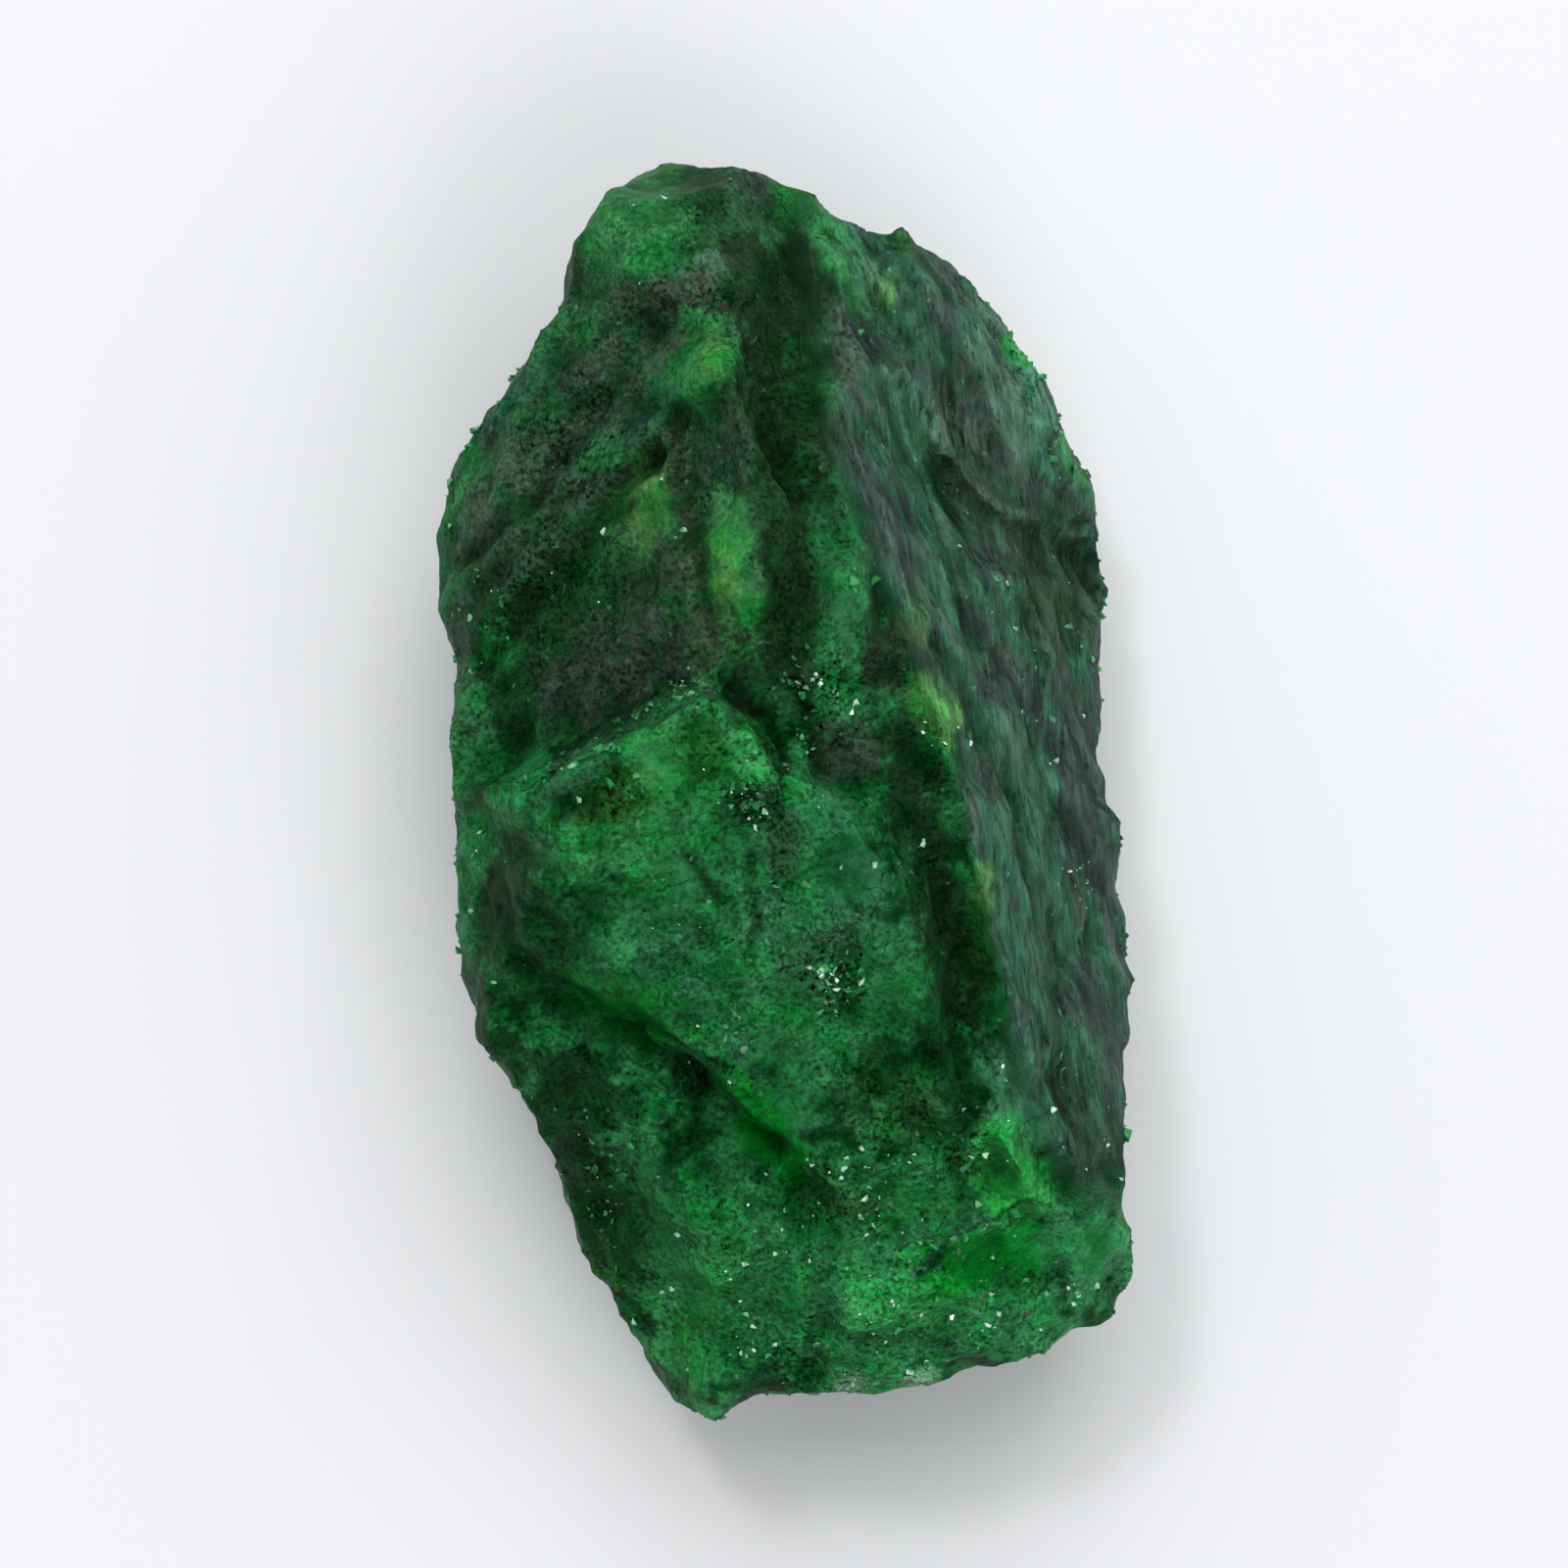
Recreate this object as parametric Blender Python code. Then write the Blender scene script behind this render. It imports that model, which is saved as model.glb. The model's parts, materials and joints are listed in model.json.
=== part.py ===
"""A rough emerald: one broken piece of massive beryl, about 48 mm long, lying on a flat fracture.

The stone starts as a block with the outline that it shows from above. Its natural faces cut that block
down, its edges are worn round, and its relief is carved in: the trough beside the crest, the ledge over
the lower slab, the valleys and lobes, the striations of the right flank, the chips, pits and grains.
+Y runs along the stone, +Z is up, and the stone rests on Z = 0. Lengths in the lists are millimetres.
"""

import math

import bmesh
import bpy
import numpy as np
from mathutils import Vector, noise

MM = 0.001

# Driving dimensions
LENGTH = 47.8
WIDTH = 26.6
HEIGHT = 21.4
BLOCK_HEIGHT = 30.0
SKIN = 0.36
WEAR_PASSES = 6
TRIANGLES = 9600
BASE_CUT = 0.35
MERGE = 0.04
SHARP_ANGLE = 38

# Seed of the directions in which carved lines wander and chips tilt
DIRECTION_SEED = 1796063839
# How far the carved lines wander, broadly and tightly: the size of the bends and their reach
WANDERS = [(4.5, 0.8), (1.25, 0.36)]
# How steeply a trough and a rib fall away from their line
TROUGH_POWER = 1.3
RIB_POWER = 1.2
# Carved forms vary in strength along the stone: size of the change, seed and least strength
CARVING_STRENGTH = (3.5, 6.0, 0.55)
CARVING_SWING = 1.2
# Ledges: over what width the rim steps down, and how far past its ends it fades, as a share of its reach
LEDGE_EDGE = 0.5
LEDGE_END = 0.3
# How far out a lump ends, in half sizes
LUMP_EDGE = 1.3
# Where the carved roof begins and is in full, as the upward part of the surface's direction
ROOF_START = 0.05
ROOF_FULL = 0.40
# The smooth underside: where it begins and is in full, and how high above the base it reaches
UNDER_START = 0.55
UNDER_FULL = 0.85
UNDER_TOP = 2.0

# Roughness of the whole surface: size of each chip or grain, its seed and its height
CHIPS = [(3.2, 2.0, 0.34), (1.6, 7.0, 0.26)]
GRAINS = [(4.5, 1.0, 0.35), (1.5, 3.0, 0.22)]
# Broad chips, on the steep sides only
SIDE_CHIPS = (6.5, 5.0, 0.55)
# How a chip's flat face tilts, and how fast it sinks away from its middle
CHIP_TILT_SEED = 3.7
CHIP_FALL = 0.9
# Ribs of the right flank: direction across them, spacing of the coarse and of the fine ones, height
ACROSS_RIBS = (0.94, 0.30)
RIB_SPACING = (2.0, 0.94)
FINE_RIB = 0.6
RIB_BEND = (6.0, 4.0)
RIB_BEND_REACH = 0.7
STRIATION_HEIGHT = 0.10
FLANK_START = 3.0

# The outline from above, clockwise from the top
OUTLINE = [
    (-1.9, 24.3),
    (0.6, 23.7),
    (3.4, 22.5),
    (4.2, 21.2),
    (6.5, 20.9),
    (8.7, 19.3),
    (10.3, 16.6),
    (11.8, 13.9),
    (12.9, 10.4),
    (13.4, 7.6),
    (12.8, 4.6),
    (12.3, 0.0),
    (12.6, -6.0),
    (12.2, -9.9),
    (11.1, -12.6),
    (10.9, -15.4),
    (11.4, -19.1),
    (10.1, -21.1),
    (6.1, -22.5),
    (0.6, -23.2),
    (-3.6, -22.9),
    (-5.1, -23.5),
    (-7.2, -22.7),
    (-8.4, -19.8),
    (-10.1, -15.5),
    (-11.0, -11.2),
    (-12.9, -7.7),
    (-13.2, -3.6),
    (-12.4, 3.8),
    (-12.5, 10.5),
    (-11.4, 14.0),
    (-9.8, 15.6),
    (-6.8, 18.9),
    (-6.2, 21.2),
    (-4.8, 23.0),
    (-3.2, 24.1),
]

# Natural faces: a point on each, the compass direction that it looks to (0 is +X, 90 is +Y), and its
# slope from level. A slope over 90 is an undercut.
SHARED_FACES = {
    "right_flank": ((6.7, -5.0, 18.9), 4, 61),
    "pyramid_side": ((8.0, -16.0, 15.6), -48, 48),
    "end_bevel": ((0.0, -18.8, 15.4), -88, 45),
    "lower_left_face": ((-5.0, -9.0, 17.7), 222, 43),
    "left_shoulder": ((-11.2, -2.0, 16.0), 184, 63),
    "right_undercut": ((12.4, 0.0, 5.5), -3, 114),
    "upper_right_undercut": ((10.7, 16.0, 5.5), 28, 118),
    "top_undercut": ((0.0, 23.8, 8.0), 80, 130),
    "upper_left_undercut": ((-10.0, 15.0, 6.0), 147, 124),
    "left_undercut": ((-12.8, -2.0, 5.0), 181, 117),
    "lower_left_undercut": ((-10.4, -14.0, 5.0), 201, 120),
    "end_undercut": ((0.0, -23.2, 5.0), -87, 114),
    "lower_right_undercut": ((10.2, -20.6, 4.5), -46, 110),
}
# The body carries the crest, the head and the right flank
BODY_FACES = {
    "upper_left_roof": ((0.0, 9.0, 20.8), 168, 35),
    "head": ((-2.0, 20.0, 17.0), 98, 38),
    "head_end": ((-2.0, 23.2, 13.2), 90, 66),
    "upper_right_flank": ((2.6, 9.0, 19.8), 16, 50),
    "upper_left_shoulder": ((-11.2, 9.0, 12.4), 166, 62),
    "lobe_top": ((8.5, 16.0, 11.4), 38, 46),
    "inner_facet": ((6.4, -3.0, 18.6), 238, 19),
}
# The slab lies over the lower half of the body, with a low cliff round its upper end
SLAB_FACES = {
    "slab_top": ((-2.0, 3.3, 21.0), 235, 15),
    "slab_lower_end": ((2.0, -12.0, 18.2), -96, 25),
    "ledge_cliff": ((-6.2, 2.7, 20.0), 114, 76),
    "apex_cliff": ((-1.5, 3.2, 20.6), 44, 58),
    "groove_cliff": ((3.2, -1.8, 19.8), 33, 64),
    "lower_groove_cliff": ((4.7, -6.4, 19.0), 8, 60),
}

# Troughs, valleys and cracks: the line of the bottom, the depth, and the half widths to the left and to
# the right of the line's travel
TROUGHS = [
    ([(2.1, 22.8), (1.7, 17.0), (1.2, 10.0), (1.0, 6.0)], 1.3, (1.9, 1.0)),
    ([(4.4, 21.6), (5.4, 18.6), (6.4, 14.4), (7.2, 11.0)], 1.3, (1.0, 2.0)),
    ([(-2.0, 4.6), (0.2, 1.8), (4.2, -2.4), (5.2, -6.4), (5.5, -11.0)], 0.7, (1.4, 1.0)),
    ([(-10.4, 2.0), (-6.4, 3.6), (-3.2, 5.2)], 0.9, (2.6, 0.7)),
    ([(-9.4, -6.4), (-5.4, -9.8), (-2.4, -12.9), (-0.6, -15.2)], 1.3, (1.2, 2.6)),
    ([(-12.4, 9.0), (-8.0, 12.8), (-3.2, 17.2)], 1.2, (1.8, 0.5)),
    ([(-7.8, 19.4), (-5.0, 18.0), (-2.0, 17.6)], 0.6, (1.0, 1.6)),
    ([(-11.8, 5.4), (-7.6, 8.4), (-3.6, 12.4)], 1.0, (1.5, 0.5)),
    ([(-7.0, 15.0), (-4.0, 14.8), (-1.6, 13.0)], 0.6, (0.5, 1.2)),
    ([(-2.7, 14.0), (-2.5, 9.0), (-2.4, 5.4)], 0.8, (1.0, 0.6)),
    ([(5.2, 14.0), (6.8, 8.0), (7.9, 0.5), (9.0, -6.0), (9.4, -12.0)], 0.7, (0.5, 1.3)),
    ([(9.4, 6.0), (10.4, 0.0), (10.9, -7.0)], 0.7, (0.5, 1.4)),
    ([(2.2, -10.2), (3.8, -13.4), (6.2, -15.0)], 0.8, (0.8, 1.4)),
    ([(-1.4, -14.6), (-1.0, -18.4), (-1.8, -22.0)], 0.8, (1.2, 0.8)),
    ([(-10.6, -1.0), (-7.0, -3.6), (-3.6, -4.4)], 0.4, (0.9, 0.9)),
]

# Crests and ribs: the line of the top, height and half width
RIBS = [
    ([(0.6, 23.4), (0.2, 17.0), (0.0, 10.0), (-0.3, 6.2)], 0.6, 0.9),
    ([(3.9, 22.0), (4.0, 18.0), (3.2, 12.0), (2.7, 6.6)], 0.8, 1.1),
    ([(5.2, 4.8), (5.7, 0.5), (6.7, -4.0), (6.9, -9.6), (7.1, -13.4), (7.9, -16.0)], 0.7, 0.9),
    ([(4.2, -17.0), (6.2, -16.3), (7.9, -16.0)], 0.6, 0.7),
    ([(-5.8, -14.2), (-4.6, -18.4), (-4.9, -22.4)], 1.6, 2.2),
    ([(6.4, 19.4), (9.2, 16.0), (10.6, 12.4), (12.2, 9.4)], 1.5, 1.5),
    ([(-9.8, 0.6), (-6.2, 2.1), (-3.4, 3.7), (-2.2, 4.0)], 0.40, 0.7),
    ([(-11.2, 11.2), (-7.4, 14.6), (-4.4, 16.6)], 0.5, 1.0),
    ([(-9.8, 8.4), (-5.8, 11.6), (-2.2, 14.6)], 0.5, 1.0),
]

# Ledges: the line of the rim, the drop on its left-hand side, and how far the drop is felt
LEDGES = [
    ([(12.9, 7.6), (11.0, 8.6), (9.2, 9.6), (7.6, 11.4)], 1.4, 4.0),
    ([(-1.8, -12.4), (-5.2, -8.6), (-8.6, -5.6), (-10.6, -4.8)], 0.9, 3.0),
]

# Lumps, and hollows of negative height: centre, half sizes, turn of the first half size and height
LUMPS = [
    ((-3.2, 21.2), (3.0, 2.6), 0, 1.2),
    ((-0.5, 19.2), (0.9, 1.1), 0, 0.6),
    ((-1.2, 15.4), (1.6, 1.6), 30, 0.5),
    ((-3.9, 10.6), (1.3, 2.2), -20, 0.5),
    ((-1.1, 8.4), (1.1, 2.4), 0, 0.4),
    ((-9.8, 11.8), (2.6, 1.6), 40, 0.6),
    ((-8.4, 6.2), (2.4, 1.3), 30, -0.5),
    ((3.9, 2.4), (1.7, 3.2), 24, -1.0),
    ((-4.6, -10.1), (1.3, 0.9), -40, -0.8),
    ((-1.4, -0.8), (1.6, 1.0), 10, -0.45),
    ((1.6, -5.6), (2.4, 4.2), 10, 0.35),
    ((-6.4, -1.8), (3.4, 2.4), 30, 0.35),
    ((1.4, -19.2), (2.4, 1.6), 0, 0.6),
    ((5.6, -18.0), (2.3, 1.1), -8, -1.0),
    ((7.0, -13.4), (1.3, 2.2), 10, 0.7),
    ((-8.4, -1.6), (1.5, 2.0), 0, 0.4),
    ((-3.6, -5.8), (2.0, 1.6), 30, 0.3),
    ((9.4, -18.6), (1.7, 2.2), -20, 0.5),
    ((8.0, 12.6), (1.1, 2.6), 8, -0.7),
    ((9.4, 3.4), (2.2, 3.6), 15, -0.6),
]


def outward(compass, slope):
    """The direction a face looks to."""
    turn, tip = math.radians(compass), math.radians(slope)
    return Vector((math.cos(turn) * math.sin(tip), math.sin(turn) * math.sin(tip), math.cos(tip)))


def clear_scene():
    for old in list(bpy.data.objects):
        bpy.data.objects.remove(old, do_unlink=True)


def cut_away(bm, point, direction):
    """Cuts off all that lies beyond a plane and closes the cut with a flat face."""
    cut = bmesh.ops.bisect_plane(
        bm,
        geom=bm.verts[:] + bm.edges[:] + bm.faces[:],
        plane_co=point,
        plane_no=direction,
        clear_outer=True,
    )
    rim = [item for item in cut["geom_cut"] if isinstance(item, bmesh.types.BMEdge)]
    bmesh.ops.edgeloop_fill(bm, edges=rim)


def cut_block(name, faces):
    """A block with the stone's outline, cut down by each natural face in turn."""
    bm = bmesh.new()
    floor = [bm.verts.new((x * MM, y * MM, 0)) for x, y in OUTLINE]
    roof = [bm.verts.new((x * MM, y * MM, BLOCK_HEIGHT * MM)) for x, y in OUTLINE]
    bm.faces.new(floor)
    bm.faces.new(roof)
    for corner in range(len(OUTLINE)):
        bm.faces.new((floor[corner - 1], floor[corner], roof[corner], roof[corner - 1]))
    for point, compass, slope in faces.values():
        cut_away(bm, Vector(point) * MM, outward(compass, slope))
    bmesh.ops.recalc_face_normals(bm, faces=bm.faces)
    mesh = bpy.data.meshes.new(name)
    bm.to_mesh(mesh)
    bm.free()
    block = bpy.data.objects.new(name, mesh)
    bpy.context.scene.collection.objects.link(block)
    return block


def join_blocks():
    """The body and the slab in one mesh. They reach into each other until the skin makes them one."""
    stone = cut_block("rough_emerald", SHARED_FACES | BODY_FACES)
    slab = cut_block("slab", SHARED_FACES | SLAB_FACES)
    bm = bmesh.new()
    bm.from_mesh(stone.data)
    bm.from_mesh(slab.data)
    bm.to_mesh(stone.data)
    bm.free()
    bpy.data.objects.remove(slab, do_unlink=True)
    return stone


def keep_modified(stone):
    """Makes the modified mesh the object's own."""
    bpy.context.view_layer.update()
    shaped = stone.evaluated_get(bpy.context.evaluated_depsgraph_get())
    mesh = bpy.data.meshes.new_from_object(shaped)
    stone.modifiers.clear()
    stone.data = mesh


def wear_edges(stone):
    """One even skin of small faces over the blocks, with its edges rubbed round."""
    skin = stone.modifiers.new("skin", "REMESH")
    skin.mode = "VOXEL"
    skin.voxel_size = SKIN * MM
    rub = stone.modifiers.new("rub", "SMOOTH")
    rub.factor = 0.5
    rub.iterations = WEAR_PASSES
    keep_modified(stone)


def smooth_ramp(value):
    """Eases from 0 to 1 as value goes from 0 to 1."""
    held = np.clip(value, 0, 1)
    return held * held * (3 - 2 * held)


def near_line(plan, path):
    """Distance from each plan point to a line of points, signed: positive to the left of its travel."""
    best = np.full(len(plan), np.inf)
    signed = np.zeros(len(plan))
    for start, end in zip(path[:-1], path[1:]):
        a, b = np.array(start), np.array(end)
        along = b - a
        part = np.clip((plan - a) @ along / (along @ along), 0, 1)
        off = plan - (a + part[:, None] * along)
        far = np.hypot(off[:, 0], off[:, 1])
        left = along[0] * (plan[:, 1] - a[1]) - along[1] * (plan[:, 0] - a[0])
        closer = far < best
        best = np.where(closer, far, best)
        signed = np.where(closer, np.where(left > 0, far, -far), signed)
    return signed


def end_fade(plan, path, fade):
    """1 beside a line of points, easing to 0 past its two ends."""
    weight = np.ones(len(plan))
    for tip, inner in ((path[0], path[1]), (path[-1], path[-2])):
        inward = np.array(inner) - np.array(tip)
        inward = inward / np.hypot(*inward)
        weight = weight * smooth_ramp(1 + ((plan - np.array(tip)) @ inward) / fade)
    return weight


def uneven(points, size, seed, least):
    """A strength for each point, wandering between the least value and 1."""
    return least + (1 - least) * smooth_ramp(0.5 + CARVING_SWING * grain(points, size, seed))


def carve_relief(points):
    """How far the roof rises or sinks at each point, in millimetres."""
    plan = points[:, :2].copy()
    for size, reach in WANDERS:
        plan += reach * np.array([noise.noise_vector(Vector(p) / size)[:2] for p in points])
    strength = uneven(points, *CARVING_STRENGTH)
    rise = np.zeros(len(points))
    for path, depth, (left, right) in TROUGHS:
        off = near_line(plan, path)
        off = np.where(off > 0, off / left, -off / right)
        deep = np.clip(1 - off, 0, 1) ** TROUGH_POWER
        rise -= depth * deep * strength * end_fade(plan, path, left + right)
    for path, height, half in RIBS:
        off = np.abs(near_line(plan, path)) / half
        high = np.clip(1 - off, 0, 1) ** RIB_POWER
        rise += height * high * strength * end_fade(plan, path, 2 * half)
    for path, drop, reach in LEDGES:
        off = near_line(plan, path)
        felt = smooth_ramp(off / LEDGE_EDGE) * (1 - smooth_ramp((off - LEDGE_EDGE) / reach))
        rise -= drop * felt * end_fade(plan, path, LEDGE_END * reach)
    for centre, (long, short), turn, height in LUMPS:
        c, s = math.cos(math.radians(turn)), math.sin(math.radians(turn))
        off = plan - np.array(centre)
        u = (off[:, 0] * c + off[:, 1] * s) / long
        v = (off[:, 1] * c - off[:, 0] * s) / short
        rise += height * smooth_ramp(LUMP_EDGE - np.hypot(u, v))
    return rise


def chips(points, size, seed):
    """Flat chipped facets of about the given size, as a height of roughly -1 to 1 at each point."""
    shift = Vector((seed, -seed, 0.5 * seed))
    heights = []
    for p in points:
        where = Vector(p) / size + shift
        distances, cells = noise.voronoi(where)
        planes = [
            (where - cell).dot(noise.noise_vector(cell * CHIP_TILT_SEED)) - CHIP_FALL * distance
            for distance, cell in zip(distances[:3], cells[:3])
        ]
        heights.append(max(planes))
    return np.array(heights)


def grain(points, size, seed):
    """Fine sugary lumps."""
    shift = Vector((seed, seed, seed))
    return np.array([noise.noise(Vector(p) / size + shift) for p in points])


def striations(points):
    """Ribs that run down the right flank, from upper left to lower right."""
    across = points[:, :2] @ np.array(ACROSS_RIBS)
    bend = grain(points, *RIB_BEND)
    coarse, fine = (np.sin(2 * math.pi * (across + RIB_BEND_REACH * bend) / spacing) for spacing in RIB_SPACING)
    return (coarse + FINE_RIB * fine) * smooth_ramp((points[:, 0] - FLANK_START) / FLANK_START)


def carve(stone):
    """Gives the worn block its relief."""
    mesh = stone.data
    count = len(mesh.vertices)
    points = np.empty(3 * count)
    mesh.vertices.foreach_get("co", points)
    points = points.reshape(-1, 3) / MM
    normals = np.empty(3 * count)
    mesh.vertices.foreach_get("normal", normals)
    normals = normals.reshape(-1, 3)
    roof = smooth_ramp((normals[:, 2] - ROOF_START) / (ROOF_FULL - ROOF_START))
    under = smooth_ramp((-normals[:, 2] - UNDER_START) / (UNDER_FULL - UNDER_START))
    under = under * smooth_ramp(UNDER_TOP - points[:, 2])
    moved = points.copy()
    moved[:, 2] += carve_relief(points) * roof
    size, seed, height = SIDE_CHIPS
    rough = STRIATION_HEIGHT * striations(points) + height * chips(points, size, seed) * (1 - roof)
    rough += sum(height * chips(points, size, seed) for size, seed, height in CHIPS)
    rough += sum(height * grain(points, size, seed) for size, seed, height in GRAINS)
    moved += normals * (rough * (1 - under))[:, None]
    mesh.vertices.foreach_set("co", (moved * MM).ravel())
    mesh.update()


def thin_faces(stone):
    """Fewer and larger faces, down to the stated count."""
    now = sum(len(face.vertices) - 2 for face in stone.data.polygons)
    fewer = stone.modifiers.new("fewer", "DECIMATE")
    fewer.ratio = TRIANGLES / now
    keep_modified(stone)


def flatten_base(stone):
    """Cuts the underside to the one flat face on which the stone lies."""
    bm = bmesh.new()
    bm.from_mesh(stone.data)
    cut_away(bm, Vector((0, 0, BASE_CUT * MM)), Vector((0, 0, -1)))
    bmesh.ops.remove_doubles(bm, verts=bm.verts[:], dist=MERGE * MM)
    bmesh.ops.triangulate(bm, faces=bm.faces[:])
    bmesh.ops.recalc_face_normals(bm, faces=bm.faces[:])
    bm.to_mesh(stone.data)
    bm.free()


def set_size(stone):
    """Brings the stone to its overall size, centred over the origin with its base on Z = 0."""
    points = np.array([vertex.co for vertex in stone.data.vertices])
    low, high = points.min(axis=0), points.max(axis=0)
    size = np.array([WIDTH, LENGTH, HEIGHT]) * MM
    middle = np.array([(low[0] + high[0]) / 2, (low[1] + high[1]) / 2, low[2]])
    stone.data.vertices.foreach_set("co", ((points - middle) * size / (high - low)).ravel())
    stone.data.update()
    stone.data.shade_smooth()
    stone.data.set_sharp_from_angle(angle=math.radians(SHARP_ANGLE))


def emerald_material():
    """Deep green beryl with a waxy break."""
    emerald = bpy.data.materials.new("emerald")
    emerald.use_nodes = True
    shader = emerald.node_tree.nodes["Principled BSDF"]
    shader.inputs["Base Color"].default_value = (0.016, 0.165, 0.055, 1)
    shader.inputs["Roughness"].default_value = 0.4
    shader.inputs["Metallic"].default_value = 0
    return emerald


def main():
    clear_scene()
    noise.seed_set(DIRECTION_SEED)
    stone = join_blocks()
    wear_edges(stone)
    carve(stone)
    thin_faces(stone)
    flatten_base(stone)
    set_size(stone)
    stone.data.materials.clear()
    stone.data.materials.append(emerald_material())


main()
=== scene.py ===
import json
import math

import bpy
import numpy as np
from mathutils import Euler, Matrix, Vector, noise

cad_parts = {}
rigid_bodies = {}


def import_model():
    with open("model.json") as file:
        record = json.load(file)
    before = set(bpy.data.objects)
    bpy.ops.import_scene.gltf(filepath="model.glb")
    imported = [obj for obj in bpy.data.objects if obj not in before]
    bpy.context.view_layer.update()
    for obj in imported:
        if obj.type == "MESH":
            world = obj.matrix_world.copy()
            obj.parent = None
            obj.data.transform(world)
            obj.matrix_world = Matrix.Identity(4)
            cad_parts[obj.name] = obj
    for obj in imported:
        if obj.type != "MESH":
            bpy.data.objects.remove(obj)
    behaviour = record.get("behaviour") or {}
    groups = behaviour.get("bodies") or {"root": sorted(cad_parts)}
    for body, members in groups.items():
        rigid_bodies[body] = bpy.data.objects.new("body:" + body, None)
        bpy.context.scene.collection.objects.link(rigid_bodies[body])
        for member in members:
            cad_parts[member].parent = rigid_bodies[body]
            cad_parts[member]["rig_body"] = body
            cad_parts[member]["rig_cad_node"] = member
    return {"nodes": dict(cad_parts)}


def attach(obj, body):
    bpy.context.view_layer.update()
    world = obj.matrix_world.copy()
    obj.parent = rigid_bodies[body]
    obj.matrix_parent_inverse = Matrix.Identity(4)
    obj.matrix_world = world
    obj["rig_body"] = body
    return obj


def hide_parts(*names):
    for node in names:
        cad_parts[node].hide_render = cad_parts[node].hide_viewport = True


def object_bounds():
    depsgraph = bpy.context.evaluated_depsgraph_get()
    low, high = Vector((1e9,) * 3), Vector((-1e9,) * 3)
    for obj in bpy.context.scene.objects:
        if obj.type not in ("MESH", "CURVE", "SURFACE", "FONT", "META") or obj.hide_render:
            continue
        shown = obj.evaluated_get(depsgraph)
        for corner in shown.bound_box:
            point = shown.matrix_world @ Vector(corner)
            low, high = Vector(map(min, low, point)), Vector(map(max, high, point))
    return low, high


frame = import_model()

cad_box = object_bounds()

# The stone
# One broken piece of massive green beryl: granular on the head and the slab, with a striated and
# waxy flank on the right of its crest. It split from the rock on all sides, and nothing holds it.

MM = 0.001
# Corners of the node's loose triangles are joined within this many mm
WELD = 0.001
# Width in mm of the even squares of the fine skin, on which the grain is raised
FINE_SKIN = 0.21
# Fixes which way each raised facet tilts
TILT_SEED = 1
noise.seed_set(TILT_SEED)


def pick_only(piece):
    """Selects this piece and no other."""
    bpy.ops.object.select_all(action="DESELECT")
    piece.select_set(True)
    bpy.context.view_layer.objects.active = piece


def apply_modifier(piece, kind, **settings):
    """Adds a modifier with its settings to the piece, and applies it."""
    pick_only(piece)
    added = piece.modifiers.new(kind.lower(), kind)
    for name, value in settings.items():
        setattr(added, name, value)
    bpy.ops.object.modifier_apply(modifier=added.name)


def read_points(piece, name="co"):
    """The place of each vertex of the piece, or its normal."""
    values = np.empty(3 * len(piece.data.vertices))
    piece.data.vertices.foreach_get(name, values)
    return values.reshape(-1, 3)


stone = frame["nodes"]["rough_emerald"].copy()
stone.data = stone.data.copy()
stone.name = "emerald_stone"
stone.parent = None
# the copy is a new piece, so it drops the marks of a CAD node
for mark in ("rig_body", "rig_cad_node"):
    if mark in stone:
        del stone[mark]
bpy.context.scene.collection.objects.link(stone)
pick_only(stone)
bpy.ops.object.mode_set(mode="EDIT")
bpy.ops.mesh.select_all(action="SELECT")
bpy.ops.mesh.remove_doubles(threshold=WELD * MM)
bpy.ops.object.mode_set(mode="OBJECT")
apply_modifier(stone, "REMESH", mode="VOXEL", voxel_size=FINE_SKIN * MM)
apply_modifier(stone, "SMOOTH", factor=0.5, iterations=2)
points = read_points(stone) / MM
normals = read_points(stone, "normal")

# How fast the smaller octaves of the noise fade, and how much smaller each one is
OCTAVE_FADE = 0.7
OCTAVE_STEP = 2.0


def ease(value):
    """0 up to 0 and 1 from 1, with a soft slope between."""
    held = np.clip(value, 0, 1)
    return held * held * (3 - 2 * held)


def clouds(points, size, seed, octaves=4):
    """Soft noise about 0, broken up by smaller octaves; each use has a seed of its own."""
    shift = Vector((seed, 2 * seed, -seed))
    return np.array(
        [noise.fractal(Vector(p) / size + shift, OCTAVE_FADE, OCTAVE_STEP, octaves) for p in points]
    )


# How far up a normal points where the broken sides end, and how much more it takes to be roof
SIDES_END = 0.10
ROOF_BLEND = 0.35
# Edges wander on the plan: size of a bend, and its reach in the relief and in the paint, in mm
BEND = 2.2
RELIEF_SWAY = 0.35
PAINT_SWAY = 0.3
upward = ease((normals[:, 2] - SIDES_END) / ROOF_BLEND)
sway = np.column_stack([clouds(points, BEND, 31.0, 3), clouds(points, BEND, 37.0, 3)])
plan = points[:, :2] + RELIEF_SWAY * sway

# The crest, right of which the striated flank falls away
CREST = [
    (3.0, 24.0), (2.4, 20.0), (2.6, 16.0), (3.3, 11.0), (4.3, 6.5), (5.6, 3.0), (6.4, 0.0),
    (6.8, -5.0), (7.0, -10.0), (8.2, -14.5), (9.0, -17.0),
]
# How far left of the crest the flank's finish starts, its foot, and how softly both come in, in mm
FLANK_LEAD = 0.3
FLANK_BLEND = 0.9
FLANK_FOOT = -17.5
FOOT_BLEND = 2.5
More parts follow.
